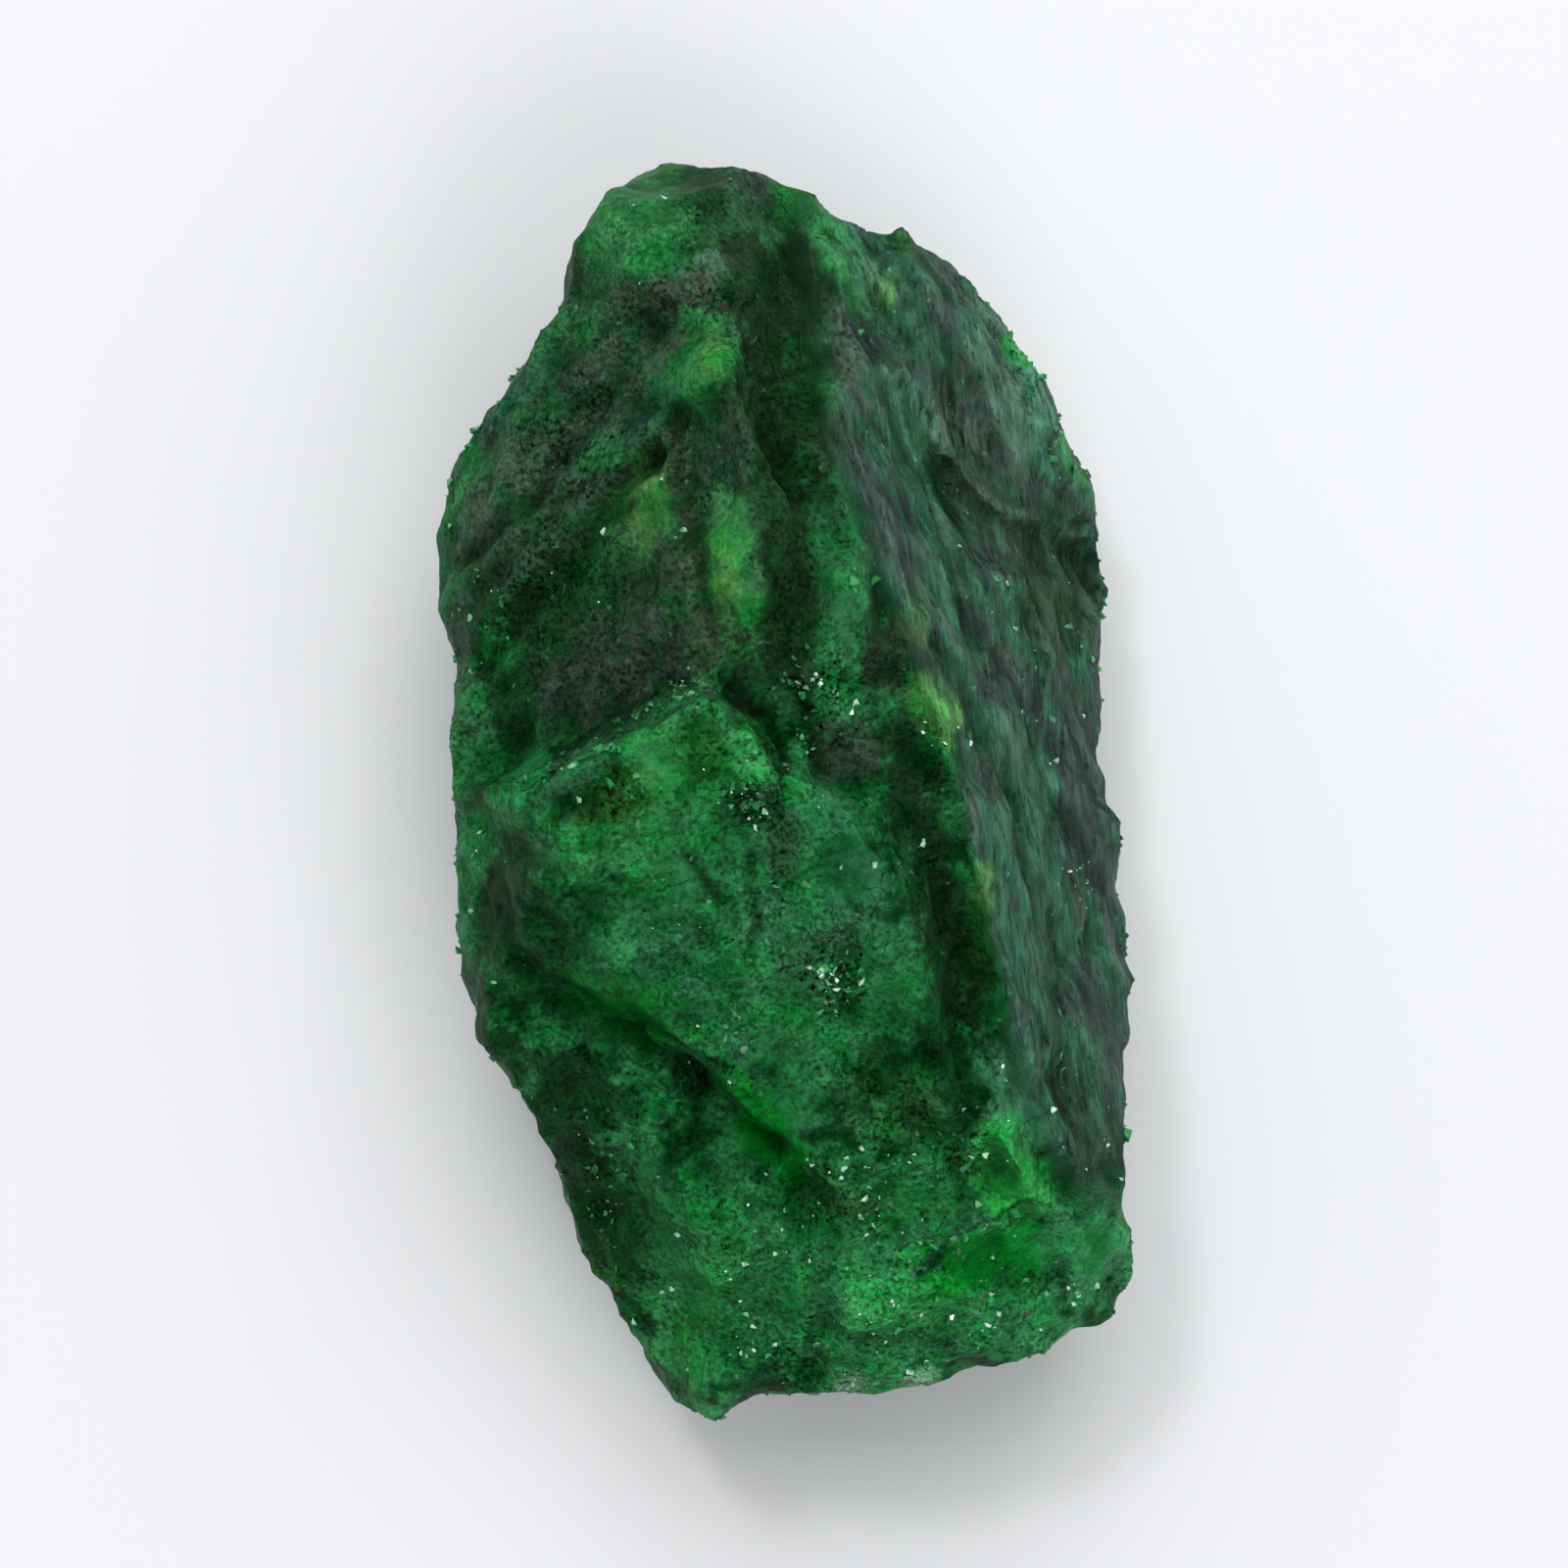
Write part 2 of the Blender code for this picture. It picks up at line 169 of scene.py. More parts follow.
# Waxy areas of the broken sides: their size in mm, and how waxy they are beside the flank
WAX_SIZE = 8.0
SIDE_WAX = 0.4
crest_x = np.interp(plan[:, 1], [y for _, y in CREST[::-1]], [x for x, _ in CREST[::-1]])
flank = ease((plan[:, 0] - crest_x + FLANK_LEAD) / FLANK_BLEND) * ease((plan[:, 1] - FLANK_FOOT) / FOOT_BLEND)
elsewhere = ease(0.5 + 1.6 * clouds(points, WAX_SIZE, 5.0, 2))
waxy = upward * flank + (1 - upward) * elsewhere * SIDE_WAX

# Cracks and seams on the roof: line, depth and half width in mm
CRACKS = [
    ([(-9.6, 1.0), (-8.0, 1.6), (-6.0, 2.6), (-4.4, 3.6), (-3.0, 4.3)], 0.34, 0.34),
    ([(-1.6, 3.8), (-0.9, 2.8), (-0.2, 1.9), (0.1, 0.8)], 0.40, 0.34),
    ([(0.6, 3.6), (1.1, 2.3), (1.3, 1.4), (1.4, 0.4)], 0.35, 0.26),
    ([(-4.0, -2.4), (-3.4, -3.0), (-2.6, -3.9), (-2.4, -4.8)], 0.22, 0.22),
    ([(-1.6, -2.4), (-1.9, -3.8), (-1.5, -5.2), (-1.8, -6.6)], 0.20, 0.20),
    ([(-6.9, 0.0), (-6.8, -1.5), (-6.6, -2.8)], 0.16, 0.20),
    ([(1.5, -6.4), (1.2, -7.6), (1.6, -8.8)], 0.22, 0.22),
    ([(-11.6, 9.3), (-9.6, 10.6), (-7.4, 11.4), (-5.0, 12.2)], 0.14, 0.24),
    ([(-8.6, 13.2), (-6.4, 14.4), (-4.2, 15.6)], 0.10, 0.22),
    ([(-2.8, 14.6), (-3.6, 13.0), (-3.2, 11.4)], 0.15, 0.20),
    ([(-4.4, 17.4), (-2.4, 17.9), (-0.6, 18.0)], 0.14, 0.26),
    ([(0.4, 17.4), (0.7, 13.0), (0.4, 9.0), (0.5, 5.4)], 0.26, 0.26),
    ([(4.4, 18.6), (5.4, 16.0), (6.6, 13.0), (8.0, 9.4)], 0.20, 0.24),
    ([(7.2, 14.6), (7.9, 12.0), (9.2, 10.2), (11.0, 9.0), (12.4, 8.6)], 0.14, 0.24),
    ([(6.0, 4.8), (6.9, 2.0), (7.6, 0.2), (8.8, -2.6)], 0.24, 0.24),
    ([(7.2, -2.0), (7.4, -5.0), (7.2, -8.4)], 0.20, 0.22),
    ([(9.6, 2.0), (9.9, -2.0), (9.4, -6.0), (9.8, -10.0)], 0.20, 0.24),
    ([(-5.2, -8.9), (-4.2, -9.8), (-3.0, -10.6), (-1.6, -13.6)], 0.20, 0.30),
    ([(5.4, -9.0), (5.6, -11.0), (5.4, -13.6)], 0.24, 0.24),
    ([(3.2, -18.6), (4.4, -17.3), (6.0, -16.7), (7.6, -16.6)], 0.24, 0.24),
    ([(-0.2, -14.4), (0.2, -16.4), (-0.4, -18.6)], 0.18, 0.22),
]
# How far a crack strays from its line, the size of its kinks in mm, and how steep its walls are
JAG = 0.16
KINK = 0.5
CRACK_WALL = 1.5


def line_distance(plan, path):
    """Distance of each plan point from a line of points."""
    best = np.full(len(plan), np.inf)
    for start, end in zip(path[:-1], path[1:]):
        a, b = np.array(start), np.array(end)
        along = b - a
        part = np.clip((plan - a) @ along / (along @ along), 0, 1)
        off = plan - (a + part[:, None] * along)
        best = np.minimum(best, np.hypot(off[:, 0], off[:, 1]))
    return best


jagged = JAG * np.column_stack([clouds(points, KINK, 33.0, 2), clouds(points, KINK, 39.0, 2)])
cracked = np.zeros(len(points))
for path, depth, half in CRACKS:
    cracked -= depth * np.exp(-np.abs(line_distance(plan + jagged, path) / half) ** CRACK_WALL)

# Lean and curl of the flank's striations and of the beds across the upper left
STRIATION = (-0.32, -0.0045)
FINE_STRIATION = (-0.34, -0.0045)
BEDDING = (1.15, 0.0)
# Width and length of what runs along them in mm
FLUTE = (0.9, 5.0)
FINE_FLUTE = (0.35, 3.0)
FLAKE = (1.2, 3.4)
BED = (1.7, 2.9)
# Width of what has no direction in mm
FACET = 3.0
CHIP = 1.3
CRUMB = 0.55
# How hollow and how tilted each broken face is, as parts of its width
HOLLOW = 0.3
TILT = 0.6


def strands(points, lean, curl, across, along):
    """Places on which a pattern runs in strands, each along x = lean * y + curl * y * y."""
    x, y, z = points.T
    return np.column_stack([(x - lean * y - curl * y * y) / across, y / along, z / (2 * across)])


def shards(points, size, seed):
    """Broken faces with sharp ridges between them: heights about 0, and a number of each one's own."""
    shift = Vector((seed, -seed, 2 * seed))
    found = []
    for p in points:
        where = Vector(p) / size + shift
        faces = []
        for distance, cell in zip(*noise.voronoi(where)):
            slope = (where - cell).dot(noise.noise_vector(5.3 * cell))
            faces.append((HOLLOW * (distance * distance - 0.4) + TILT * slope, noise.cell(91.7 * cell)))
        found.append(min(faces))
    return np.array(found).T


flutes = clouds(strands(points, *STRIATION, *FLUTE), 1.0, 41.0, 3)
fine_flutes = clouds(strands(points, *FINE_STRIATION, *FINE_FLUTE), 1.0, 43.0, 2)
flakes, flake_own = shards(strands(points, *STRIATION, *FLAKE), 1.0, 45.0)
beds, bed_own = shards(strands(points, *BEDDING, *BED), 1.0, 47.0)
facets, facet_own = shards(points, FACET, 1.0)
chips, chip_own = shards(points, CHIP, 2.0)
crumbs, _ = shards(points, CRUMB, 4.0)

# Where the beds lie on the plan: from the ledge up to the head, and left of the crest, in mm
BEDS_FOOT = 3.0
BEDS_HEAD = 18.5
BEDS_RIGHT = 1.0
upper_left = ease((plan[:, 1] - BEDS_FOOT) / 3.0) * ease((BEDS_RIGHT - plan[:, 0]) / 2.0)
upper_left *= ease((BEDS_HEAD - plan[:, 1]) / 2.0)
# How much of the grain the wax fills
WAX_FILL = 0.85
rough = 1 - WAX_FILL * waxy
granular = ease(0.5 + 1.5 * clouds(points, 3.4, 57.0, 3))

# Height in mm of each kind of relief
SWELL_RISE = 0.05
FACET_RISE = 0.9
CHIP_RISE = 0.28
CRUMB_RISE = 0.14
GRANULAR_RISE = 0.18
FLUTE_RISE = 0.05
FLAKE_RISE = 0.60
BED_RISE = 0.5
raised = SWELL_RISE * clouds(points, 2.4, 3.0, 4)
raised += FACET_RISE * facets * (1.2 - 0.2 * upward) * (1 - 0.6 * waxy) * (1 - 0.5 * upper_left)
crumb_rise = CRUMB_RISE + GRANULAR_RISE * granular
raised += (CHIP_RISE * chips * (1.5 - 0.5 * upward) + crumb_rise * crumbs) * rough
raised += (FLUTE_RISE * flutes + FLUTE_RISE * fine_flutes + FLAKE_RISE * flakes) * flank * upward
raised += BED_RISE * beds * upper_left * upward
raised += cracked * upward * (0.8 + 0.4 * clouds(points, 1.2, 53.0, 2))

# The flat break that it rests on stays flat: how far down its normals point, and its height in mm
BASE_FACING = -0.9
BASE_HEIGHT = 0.3
base = (normals[:, 2] < BASE_FACING) & (points[:, 2] < BASE_HEIGHT)
moved = points + normals * (raised * np.where(base, 0, 1))[:, None]
low, high = np.array(cad_box[0]) / MM, np.array(cad_box[1]) / MM
moved = np.clip(moved, low, high)
moved[base, 2] = 0
stone.data.vertices.foreach_set("co", (moved * MM).ravel())
stone.data.update()

# Hollows are where a point lies below the average about it, over a few squares of the skin or many
FINE_ROUNDS = 6
BROAD_ROUNDS = 60


def spread(values, edges, rounds):
    """Values on the vertices of a mesh, averaged again and again with their neighbours."""
    starts, ends = edges.T
    size = len(values)
    count = np.bincount(edges.ravel(), minlength=size)[:, None]
    for _ in range(rounds):
        sums = [
            np.bincount(starts, part[ends], size) + np.bincount(ends, part[starts], size)
            for part in values.T
        ]
        values = np.column_stack(sums) / np.maximum(count, 1)
    return values


edges = np.empty(2 * len(stone.data.edges), int)
stone.data.edges.foreach_get("vertices", edges)
edges = edges.reshape(-1, 2)
normals = read_points(stone, "normal")
hollow_fine = np.sum((spread(moved, edges, FINE_ROUNDS) - moved) * normals, axis=1)
hollow_broad = np.sum((spread(moved, edges, BROAD_ROUNDS) - moved) * normals, axis=1)

# Colours of the stone, and of sheen and glints painted on it; one that is used once stands in its own row
# below
EMERALD = (0.032, 0.272, 0.080)
LEAF = (0.036, 0.330, 0.082)
FRESH = (0.055, 0.450, 0.110)
LIME = (0.115, 0.430, 0.100)
MOSS = (0.100, 0.340, 0.080)
DEEP = (0.001, 0.260, 0.022)
PINE = (0.003, 0.065, 0.014)
TEAL = (0.030, 0.138, 0.076)
SLATE_AND_SHEEN = (0.042, 0.078, 0.064)
SMOKE = (0.048, 0.090, 0.062)
OLIVE = (0.020, 0.120, 0.018)
RUST = (0.048, 0.100, 0.014)
INK = (0.010, 0.050, 0.016)
MINT = (0.070, 0.215, 0.130)
PALE_PAINTED_GLINT = (0.250, 0.420, 0.300)
BEDDED = (0.050, 0.155, 0.066)

# Patches on the roof: centre, half sizes, turn, colour, strength and softness of the edge
PATCHES = [
    # head
    ((-3.2, 21.8), (2.7, 2.4), 0, LEAF, 0.65, 0.8),
    ((-6.0, 20.8), (0.6, 1.9), 10, PINE, 0.6, 0.8),
    ((-0.7, 22.4), (0.9, 1.4), 0, PINE, 0.9, 0.6),
    ((1.2, 22.7), (0.7, 0.8), 0, SLATE_AND_SHEEN, 0.9, 0.6),
    ((-2.8, 19.2), (2.2, 0.9), 0, EMERALD, 0.6, 0.8),
    ((-0.4, 19.1), (0.8, 0.8), 0, MINT, 0.8, 0.7),
    ((-2.6, 17.8), (3.0, 1.1), 10, (0.080, 0.128, 0.090), 0.9, 0.9),
    ((-6.2, 17.6), (1.3, 1.1), 40, EMERALD, 0.5, 0.8),
    # upper left
    ((-5.6, 15.4), (2.6, 1.2), 38, (0.070, 0.130, 0.090), 0.8, 0.9),
    ((-1.8, 15.8), (1.6, 1.4), 30, LEAF, 0.9, 0.8),
    ((-1.0, 15.8), (0.6, 0.9), 0, MOSS, 0.6, 0.9),
    ((-4.0, 13.6), (1.8, 0.8), 40, TEAL, 0.8, 0.8),
    ((-10.9, 11.9), (1.2, 1.8), -20, LEAF, 0.75, 0.8),
    ((-5.3, 12.9), (0.9, 0.8), 0, EMERALD, 0.8, 0.6),
    ((-4.0, 10.8), (1.2, 2.0), -20, MOSS, 0.85, 0.9),
    ((-5.2, 9.0), (1.2, 0.8), 0, LEAF, 0.5, 0.9),
    ((-1.2, 12.4), (0.9, 1.3), 0, SLATE_AND_SHEEN, 0.6, 0.8),
    ((-1.0, 8.0), (0.95, 2.6), 0, (0.070, 0.430, 0.112), 0.95, 0.7),
    ((-1.35, 7.4), (0.5, 1.9), 0, LIME, 0.9, 0.8),
    ((-9.6, 7.4), (2.2, 2.6), 0, PINE, 0.65, 0.9),
    ((-10.0, 6.1), (0.7, 0.8), 0, LEAF, 0.6, 0.8),
    ((-11.4, 4.6), (0.6, 1.1), 0, EMERALD, 0.6, 0.8),
    ((-6.2, 8.2), (1.6, 1.0), 20, PINE, 0.6, 0.8),
    # the grey break above the ledge
    ((-5.6, 4.9), (3.6, 1.6), 20, SMOKE, 1.0, 0.5),
    ((-9.6, 3.4), (0.8, 1.4), 0, PINE, 0.8, 0.7),
    # right of the crest
    ((2.5, 18.6), (1.4, 2.2), -10, INK, 0.8, 0.6),
    ((5.4, 17.9), (0.7, 0.6), 40, MOSS, 0.6, 0.7),
    ((3.9, 15.6), (0.7, 1.2), 0, SMOKE, 0.9, 0.6),
    ((3.0, 14.2), (0.5, 0.8), 0, LEAF, 0.7, 0.6),
    ((2.2, 5.0), (0.8, 0.9), 0, LEAF, 0.8, 0.6),
    # lobe on the right
    ((6.9, 19.9), (0.9, 0.6), -20, OLIVE, 0.8, 0.7),
    ((9.7, 14.4), (0.8, 3.4), 6, (0.070, 0.160, 0.110), 0.8, 0.7),
    ((10.6, 15.3), (0.45, 0.8), 10, LEAF, 0.9, 0.6),
    ((11.4, 13.4), (0.6, 1.6), 18, MINT, 0.7, 0.6),
    ((12.4, 11.2), (0.6, 1.4), 15, EMERALD, 0.8, 0.7),
    ((8.0, 12.4), (1.1, 2.3), 10, (0.062, 0.110, 0.080), 1.0, 0.7),
    ((10.8, 6.4), (1.6, 2.8), 0, (0.020, 0.080, 0.030), 0.75, 0.8),
    # slab
    ((-8.4, -1.8), (1.0, 1.3), 10, LEAF, 0.5, 0.7),
    ((-4.8, -1.2), (2.4, 2.2), 30, LEAF, 0.4, 0.8),
    ((-6.2, 0.4), (1.6, 1.1), 12, OLIVE, 0.95, 0.8),
    ((-5.8, 0.6), (0.9, 0.5), 12, RUST, 0.5, 0.9),
    ((-8.0, 0.7), (1.4, 0.45), 26, MINT, 0.5, 0.7),
    ((-4.2, 1.3), (1.0, 1.6), -10, FRESH, 0.55, 0.8),
    ((-2.7, 1.6), (0.8, 1.2), 0, OLIVE, 0.8, 0.7),
    ((-0.9, 1.5), (0.8, 1.1), 0, FRESH, 0.6, 0.8),
    ((-1.3, -0.4), (1.1, 0.7), 6, INK, 0.8, 0.9),
    ((-0.5, -2.2), (0.8, 1.3), 0, SMOKE, 0.6, 0.8),
    ((2.2, -3.8), (1.2, 2.8), 6, (0.040, 0.230, 0.100), 0.8, 0.7),
    ((-1.2, -4.8), (0.8, 0.8), 0, MINT, 0.5, 0.7),
    ((1.0, -6.6), (1.6, 1.4), 0, SMOKE, 0.5, 0.8),
    ((-4.6, -6.4), (2.0, 1.6), 30, TEAL, 0.4, 0.8),
    ((2.6, -8.6), (1.3, 1.6), 10, (0.016, 0.180, 0.044), 0.8, 0.8),
    ((3.7, -12.0), (2.6, 1.4), -14, (0.030, 0.165, 0.040), 0.85, 0.9),
    # groove and the facet beside it
    ((2.6, 1.0), (1.4, 1.4), -40, (0.060, 0.085, 0.070), 0.8, 0.8),
    ((4.4, 4.2), (1.3, 1.4), 10, (0.028, 0.050, 0.032), 0.95, 0.7),
    ((5.7, 2.2), (0.8, 1.3), 0, LIME, 0.9, 0.8),
    ((5.3, 5.4), (0.5, 1.0), 0, MOSS, 0.3, 0.8),
    ((7.0, -4.6), (0.5, 0.9), 0, MOSS, 0.6, 0.7),
    ((6.3, -6.6), (0.6, 1.6), 0, OLIVE, 0.8, 0.6),
    # left edge of the slab and the break below it
    # painted shade: these deep greens darken the lower left edge of the slab
    ((-11.0, -2.6), (1.9, 3.2), 0, PINE, 0.8, 0.7),
    ((-9.0, -5.2), (1.9, 1.6), 0, PINE, 0.8, 0.7),
    ((-6.8, -7.8), (2.6, 1.1), -26, DEEP, 1.0, 0.8),
    ((-4.2, -10.4), (1.5, 1.0), -14, PINE, 0.6, 0.9),
    ((-1.9, -12.8), (0.9, 2.5), 20, DEEP, 1.0, 0.5),
    ((0.0, -15.3), (0.8, 0.8), 0, OLIVE, 0.6, 0.9),
    ((1.6, -15.8), (0.8, 0.7), 0, OLIVE, 0.7, 0.9),
    ((5.2, -14.4), (0.6, 0.8), 0, OLIVE, 0.7, 0.9),
    # painted shade: these deep greens darken the lower left of the stone
    ((-8.6, -10.6), (1.8, 2.2), 0, PINE, 1.0, 0.8),
    ((-8.8, -15.0), (1.5, 4.6), 8, PINE, 1.0, 0.7),
    ((-8.8, -17.6), (0.6, 1.4), 10, OLIVE, 0.6, 0.7),
    # lower end
    ((-5.0, -17.6), (1.7, 4.4), 2, (0.014, 0.230, 0.050), 0.7, 0.8),
    ((-6.3, -20.6), (0.8, 1.8), 0, LEAF, 0.8, 0.6),
    ((-2.7, -16.4), (0.6, 2.4), 6, LEAF, 0.5, 0.6),
    ((-2.0, -22.0), (1.8, 0.8), 0, PINE, 0.6, 0.9),
    ((2.0, -19.3), (2.4, 1.3), 6, LEAF, 0.5, 0.8),
    ((7.0, -12.4), (1.0, 2.0), 10, (0.070, 0.290, 0.150), 1.0, 0.8),
    # painted light: these bright greens light up a steep facet at the lower right that lies in shade
    ((6.5, -14.3), (1.1, 1.4), -8, (0.045, 0.520, 0.110), 1.0, 0.9),
    ((6.9, -15.8), (1.2, 0.9), 0, (0.042, 0.520, 0.095), 1.0, 0.8),
    ((7.0, -18.0), (1.2, 1.0), 0, (0.008, 0.480, 0.066), 1.0, 0.6),
    ((5.0, -18.2), (2.0, 1.2), 12, DEEP, 1.0, 0.5),
    ((9.5, -18.8), (1.6, 2.0), 0, (0.050, 0.300, 0.110), 0.9, 0.8),
    # painted glints: pale spots on the bottom rim
    ((0.1, -22.8), (0.6, 0.4), 0, PALE_PAINTED_GLINT, 0.7, 0.6),
    ((2.8, -22.7), (0.7, 0.3), 0, PALE_PAINTED_GLINT, 0.6, 0.6),
]

# Streaks on the roof: line, half width, colour, strength and softness of the edge
STREAKS = [
    ([(-12.0, 10.0), (-8.8, 12.4), (-5.4, 14.4), (-3.0, 16.6)], 0.8, (0.062, 0.146, 0.084), 1.0, 0.9),
    ([(-12.7, 8.6), (-11.9, 12.6), (-9.8, 15.6)], 1.0, (0.010, 0.190, 0.045), 0.75, 0.9),
    ([(-10.0, 14.6), (-6.8, 16.2)], 0.5, TEAL, 0.6, 0.7),
    ([(-2.6, 13.0), (-2.5, 9.0), (-2.4, 5.0)], 0.5, (0.066, 0.132, 0.070), 1.0, 0.7),
    ([(-7.4, 11.2), (-4.6, 12.0)], 0.4, SMOKE, 0.8, 0.6),
    ([(-1.8, 17.5), (-0.6, 17.2)], 0.28, LEAF, 0.8, 0.6),
    ([(0.9, 19.4), (1.0, 14.0), (0.9, 9.0), (0.9, 5.0)], 0.95, (0.014, 0.062, 0.020), 0.97, 0.6),
    ([(2.5, 16.6), (2.4, 13.0), (2.4, 10.4)], 0.6, (0.020, 0.080, 0.028), 0.8, 0.9),
    ([(2.3, 22.3), (3.6, 20.8), (4.3, 19.2), (4.7, 17.8)], 0.6, LEAF, 0.6, 0.8),
    ([(2.9, 9.6), (2.7, 7.0), (2.7, 4.4)], 0.65, (0.034, 0.205, 0.070), 0.95, 0.8),
    ([(5.0, 19.0), (6.2, 14.0), (8.0, 9.0)], 0.4, MINT, 0.6, 0.7),
    ([(5.2, 15.0), (6.4, 10.4), (8.4, 5.0)], 0.35, MINT, 0.5, 0.7),
    ([(6.2, 13.2), (7.6, 8.0), (8.8, 4.6)], 0.3, PINE, 0.5, 0.7),
    ([(7.4, 14.8), (8.0, 11.6), (9.6, 9.9), (12.2, 8.9)], 0.35, INK, 0.6, 0.8),
    # painted highlight along the rim of the ledge
    ([(-8.6, 1.5), (-6.2, 2.3), (-4.2, 3.4)], 0.3, MINT, 0.5, 0.7),
    # painted shadow above the rim of the ledge, along its crack
    ([(-9.6, 1.2), (-6.6, 2.6), (-3.6, 4.2)], 0.22, INK, 0.9, 0.6),
    ([(-9.2, 1.4), (-10.8, 0.0), (-12.0, -1.6), (-13.0, -4.0)], 0.75, (0.020, 0.290, 0.075), 0.9, 0.9),
    ([(-1.6, 3.8), (-0.3, 2.0), (0.1, 0.8)], 0.3, INK, 0.95, 0.6),
    ([(0.6, 3.5), (1.2, 1.5), (1.4, 0.5)], 0.26, INK, 0.95, 0.6),
    ([(4.4, 1.4), (4.8, -2.0), (5.2, -6.0), (5.4, -9.0)], 0.95, (0.014, 0.062, 0.022), 0.95, 0.6),
    ([(5.0, -9.0), (5.2, -13.0)], 0.6, PINE, 0.9, 0.6),
    ([(7.5, 1.2), (8.2, -0.6), (9.2, -3.2)], 0.45, (0.018, 0.080, 0.028), 0.6, 0.8),
    ([(11.2, 1.0), (11.4, -3.6)], 0.9, SLATE_AND_SHEEN, 0.8, 0.6),
    ([(9.0, -8.0), (9.6, -12.0), (10.2, -16.0)], 1.0, (0.016, 0.066, 0.034), 0.6, 0.9),
    ([(7.6, -2.0), (7.6, -8.0)], 0.35, TEAL, 0.8, 0.6),
    ([(8.8, -4.0), (9.4, -8.0)], 0.8, TEAL, 0.7, 0.7),
    ([(-2.8, -9.2), (-1.6, -11.0), (-0.5, -12.4)], 0.4, MINT, 0.4, 0.7),
    ([(3.0, -18.5), (4.5, -17.1), (6.0, -16.6)], 0.2, MINT, 0.7, 0.6),
    ([(-4.0, -2.4), (-2.6, -3.9)], 0.16, INK, 0.7, 0.6),
    ([(-1.6, -2.4), (-1.6, -6.6)], 0.2, PINE, 0.6, 0.8),
]

final = read_points(stone) / MM
ragged = clouds(final, 0.9, 61.0, 5) + 0.35 * chip_own + 0.2 * facet_own
patchy = ease(0.5 + 1.5 * clouds(final, 3.0, 67.0, 4))
smoky = ease(0.5 + 1.5 * clouds(final, 3.6, 71.0, 4))
plan = final[:, :2] + PAINT_SWAY * sway


def blot(centre, halves, turn, soft):
    """1 inside an oval on the plan and 0 outside, with a ragged edge."""
    c, s = math.cos(math.radians(turn)), math.sin(math.radians(turn))
    off = plan - np.array(centre)
    u = (off[:, 0] * c + off[:, 1] * s) / halves[0]
    v = (off[:, 1] * c - off[:, 0] * s) / halves[1]
    return ease(0.5 + (1 - np.hypot(u, v) + 0.5 * ragged) / soft)


def streak(path, half, soft):
    """1 along a line of the given half width and 0 away from it, with a ragged edge."""
    return ease(0.5 + (1 - line_distance(plan, path) / half + 0.6 * ragged) / soft)


def over(coat, colour, weight):
    """The coat with a colour over it, as strong as the weight of each point."""
    weight = weight[:, None]
    return coat * (1 - weight) + np.array(colour) * weight


coat = np.outer(1 - patchy, PINE) + np.outer(patchy, EMERALD)

# the broken sides: grey on those facing right, a painted sheen, and deep green on those facing left,
# a painted shade, with soft patches all round
coat = over(coat, SLATE_AND_SHEEN, (1 - upward) * ease(0.5 + 0.8 * normals[:, 0]) * (0.25 + 0.5 * smoky))
coat = over(coat, PINE, (1 - upward) * ease(0.5 - 0.8 * normals[:, 0]) * 0.8)
for colour, seed, strength in ((LEAF, 97.0, 0.6), (SMOKE, 101.0, 0.4), (DEEP, 103.0, 0.6)):
    coat = over(coat, colour, (1 - upward) * ease(1.6 * clouds(final, 4.0, seed, 5) - 0.15) * strength)

# the roof: broad colours above the ledge, on the slab, at the lower end and on the flank, then patches
seen_from_above = ease(normals[:, 2] / 0.3)
upper = ease((plan[:, 1] - 2.0) / 2.0) * ease((2.5 - plan[:, 0]) / 2.0)
for colour, weight in (
    (BEDDED, 0.5 * upper),
    (SMOKE, 0.6 * smoky * upper),
    (PINE, 0.3 * (1 - smoky) * upper),
    (EMERALD, 0.85 * blot((-2.6, -4.6), (6.8, 8.0), 0, 0.4)),
    (EMERALD, 0.8 * blot((0.5, -18.4), (9.5, 4.8), 0, 0.4)),
    # on the flank: teal, with grey slate along the flutes that is partly a painted sheen
    (TEAL, flank),
    (SLATE_AND_SHEEN, flank * ease(0.5 + 1.8 * flutes)),
    (MINT, 0.38 * flank * ease(1.6 * fine_flutes - 0.1)),
    (INK, 0.42 * flank * ease(-2.2 * fine_flutes - 0.5)),
):
    coat = over(coat, colour, weight * seen_from_above)
for centre, halves, turn, colour, strength, soft in PATCHES:
    coat = over(coat, colour, strength * blot(centre, halves, turn, soft) * seen_from_above)
for path, half, colour, strength, soft in STREAKS:
    coat = over(coat, colour, strength * streak(path, half, soft) * seen_from_above)

# painted light: the lower end, which faces away from the main lamp, is painted lighter
PAINTED_LIGHT = 0.3
lower_end = ease((-16.4 - plan[:, 1]) / 1.6) * upward
coat *= (1 + PAINTED_LIGHT * lower_end)[:, None]

# each facet has its own lightness of colour; hollows and cracks get painted shade, and ridges a painted
# highlight
tone_and_painted_shade = 1 + (0.22 - 0.10 * upward) * facet_own * (1 - waxy) + (0.18 - 0.08 * upward) * chip_own * rough
tone_and_painted_shade += 0.23 * flake_own * flank + 0.18 * bed_own * upper_left
tone_and_painted_shade *= 1 - np.clip(3.5 * hollow_fine, -0.25, 0.5)
tone_and_painted_shade *= 1 - np.clip(0.45 * hollow_broad, -0.15, 0.22)
coat *= np.clip(tone_and_painted_shade, 0.12, 1.6)[:, None]
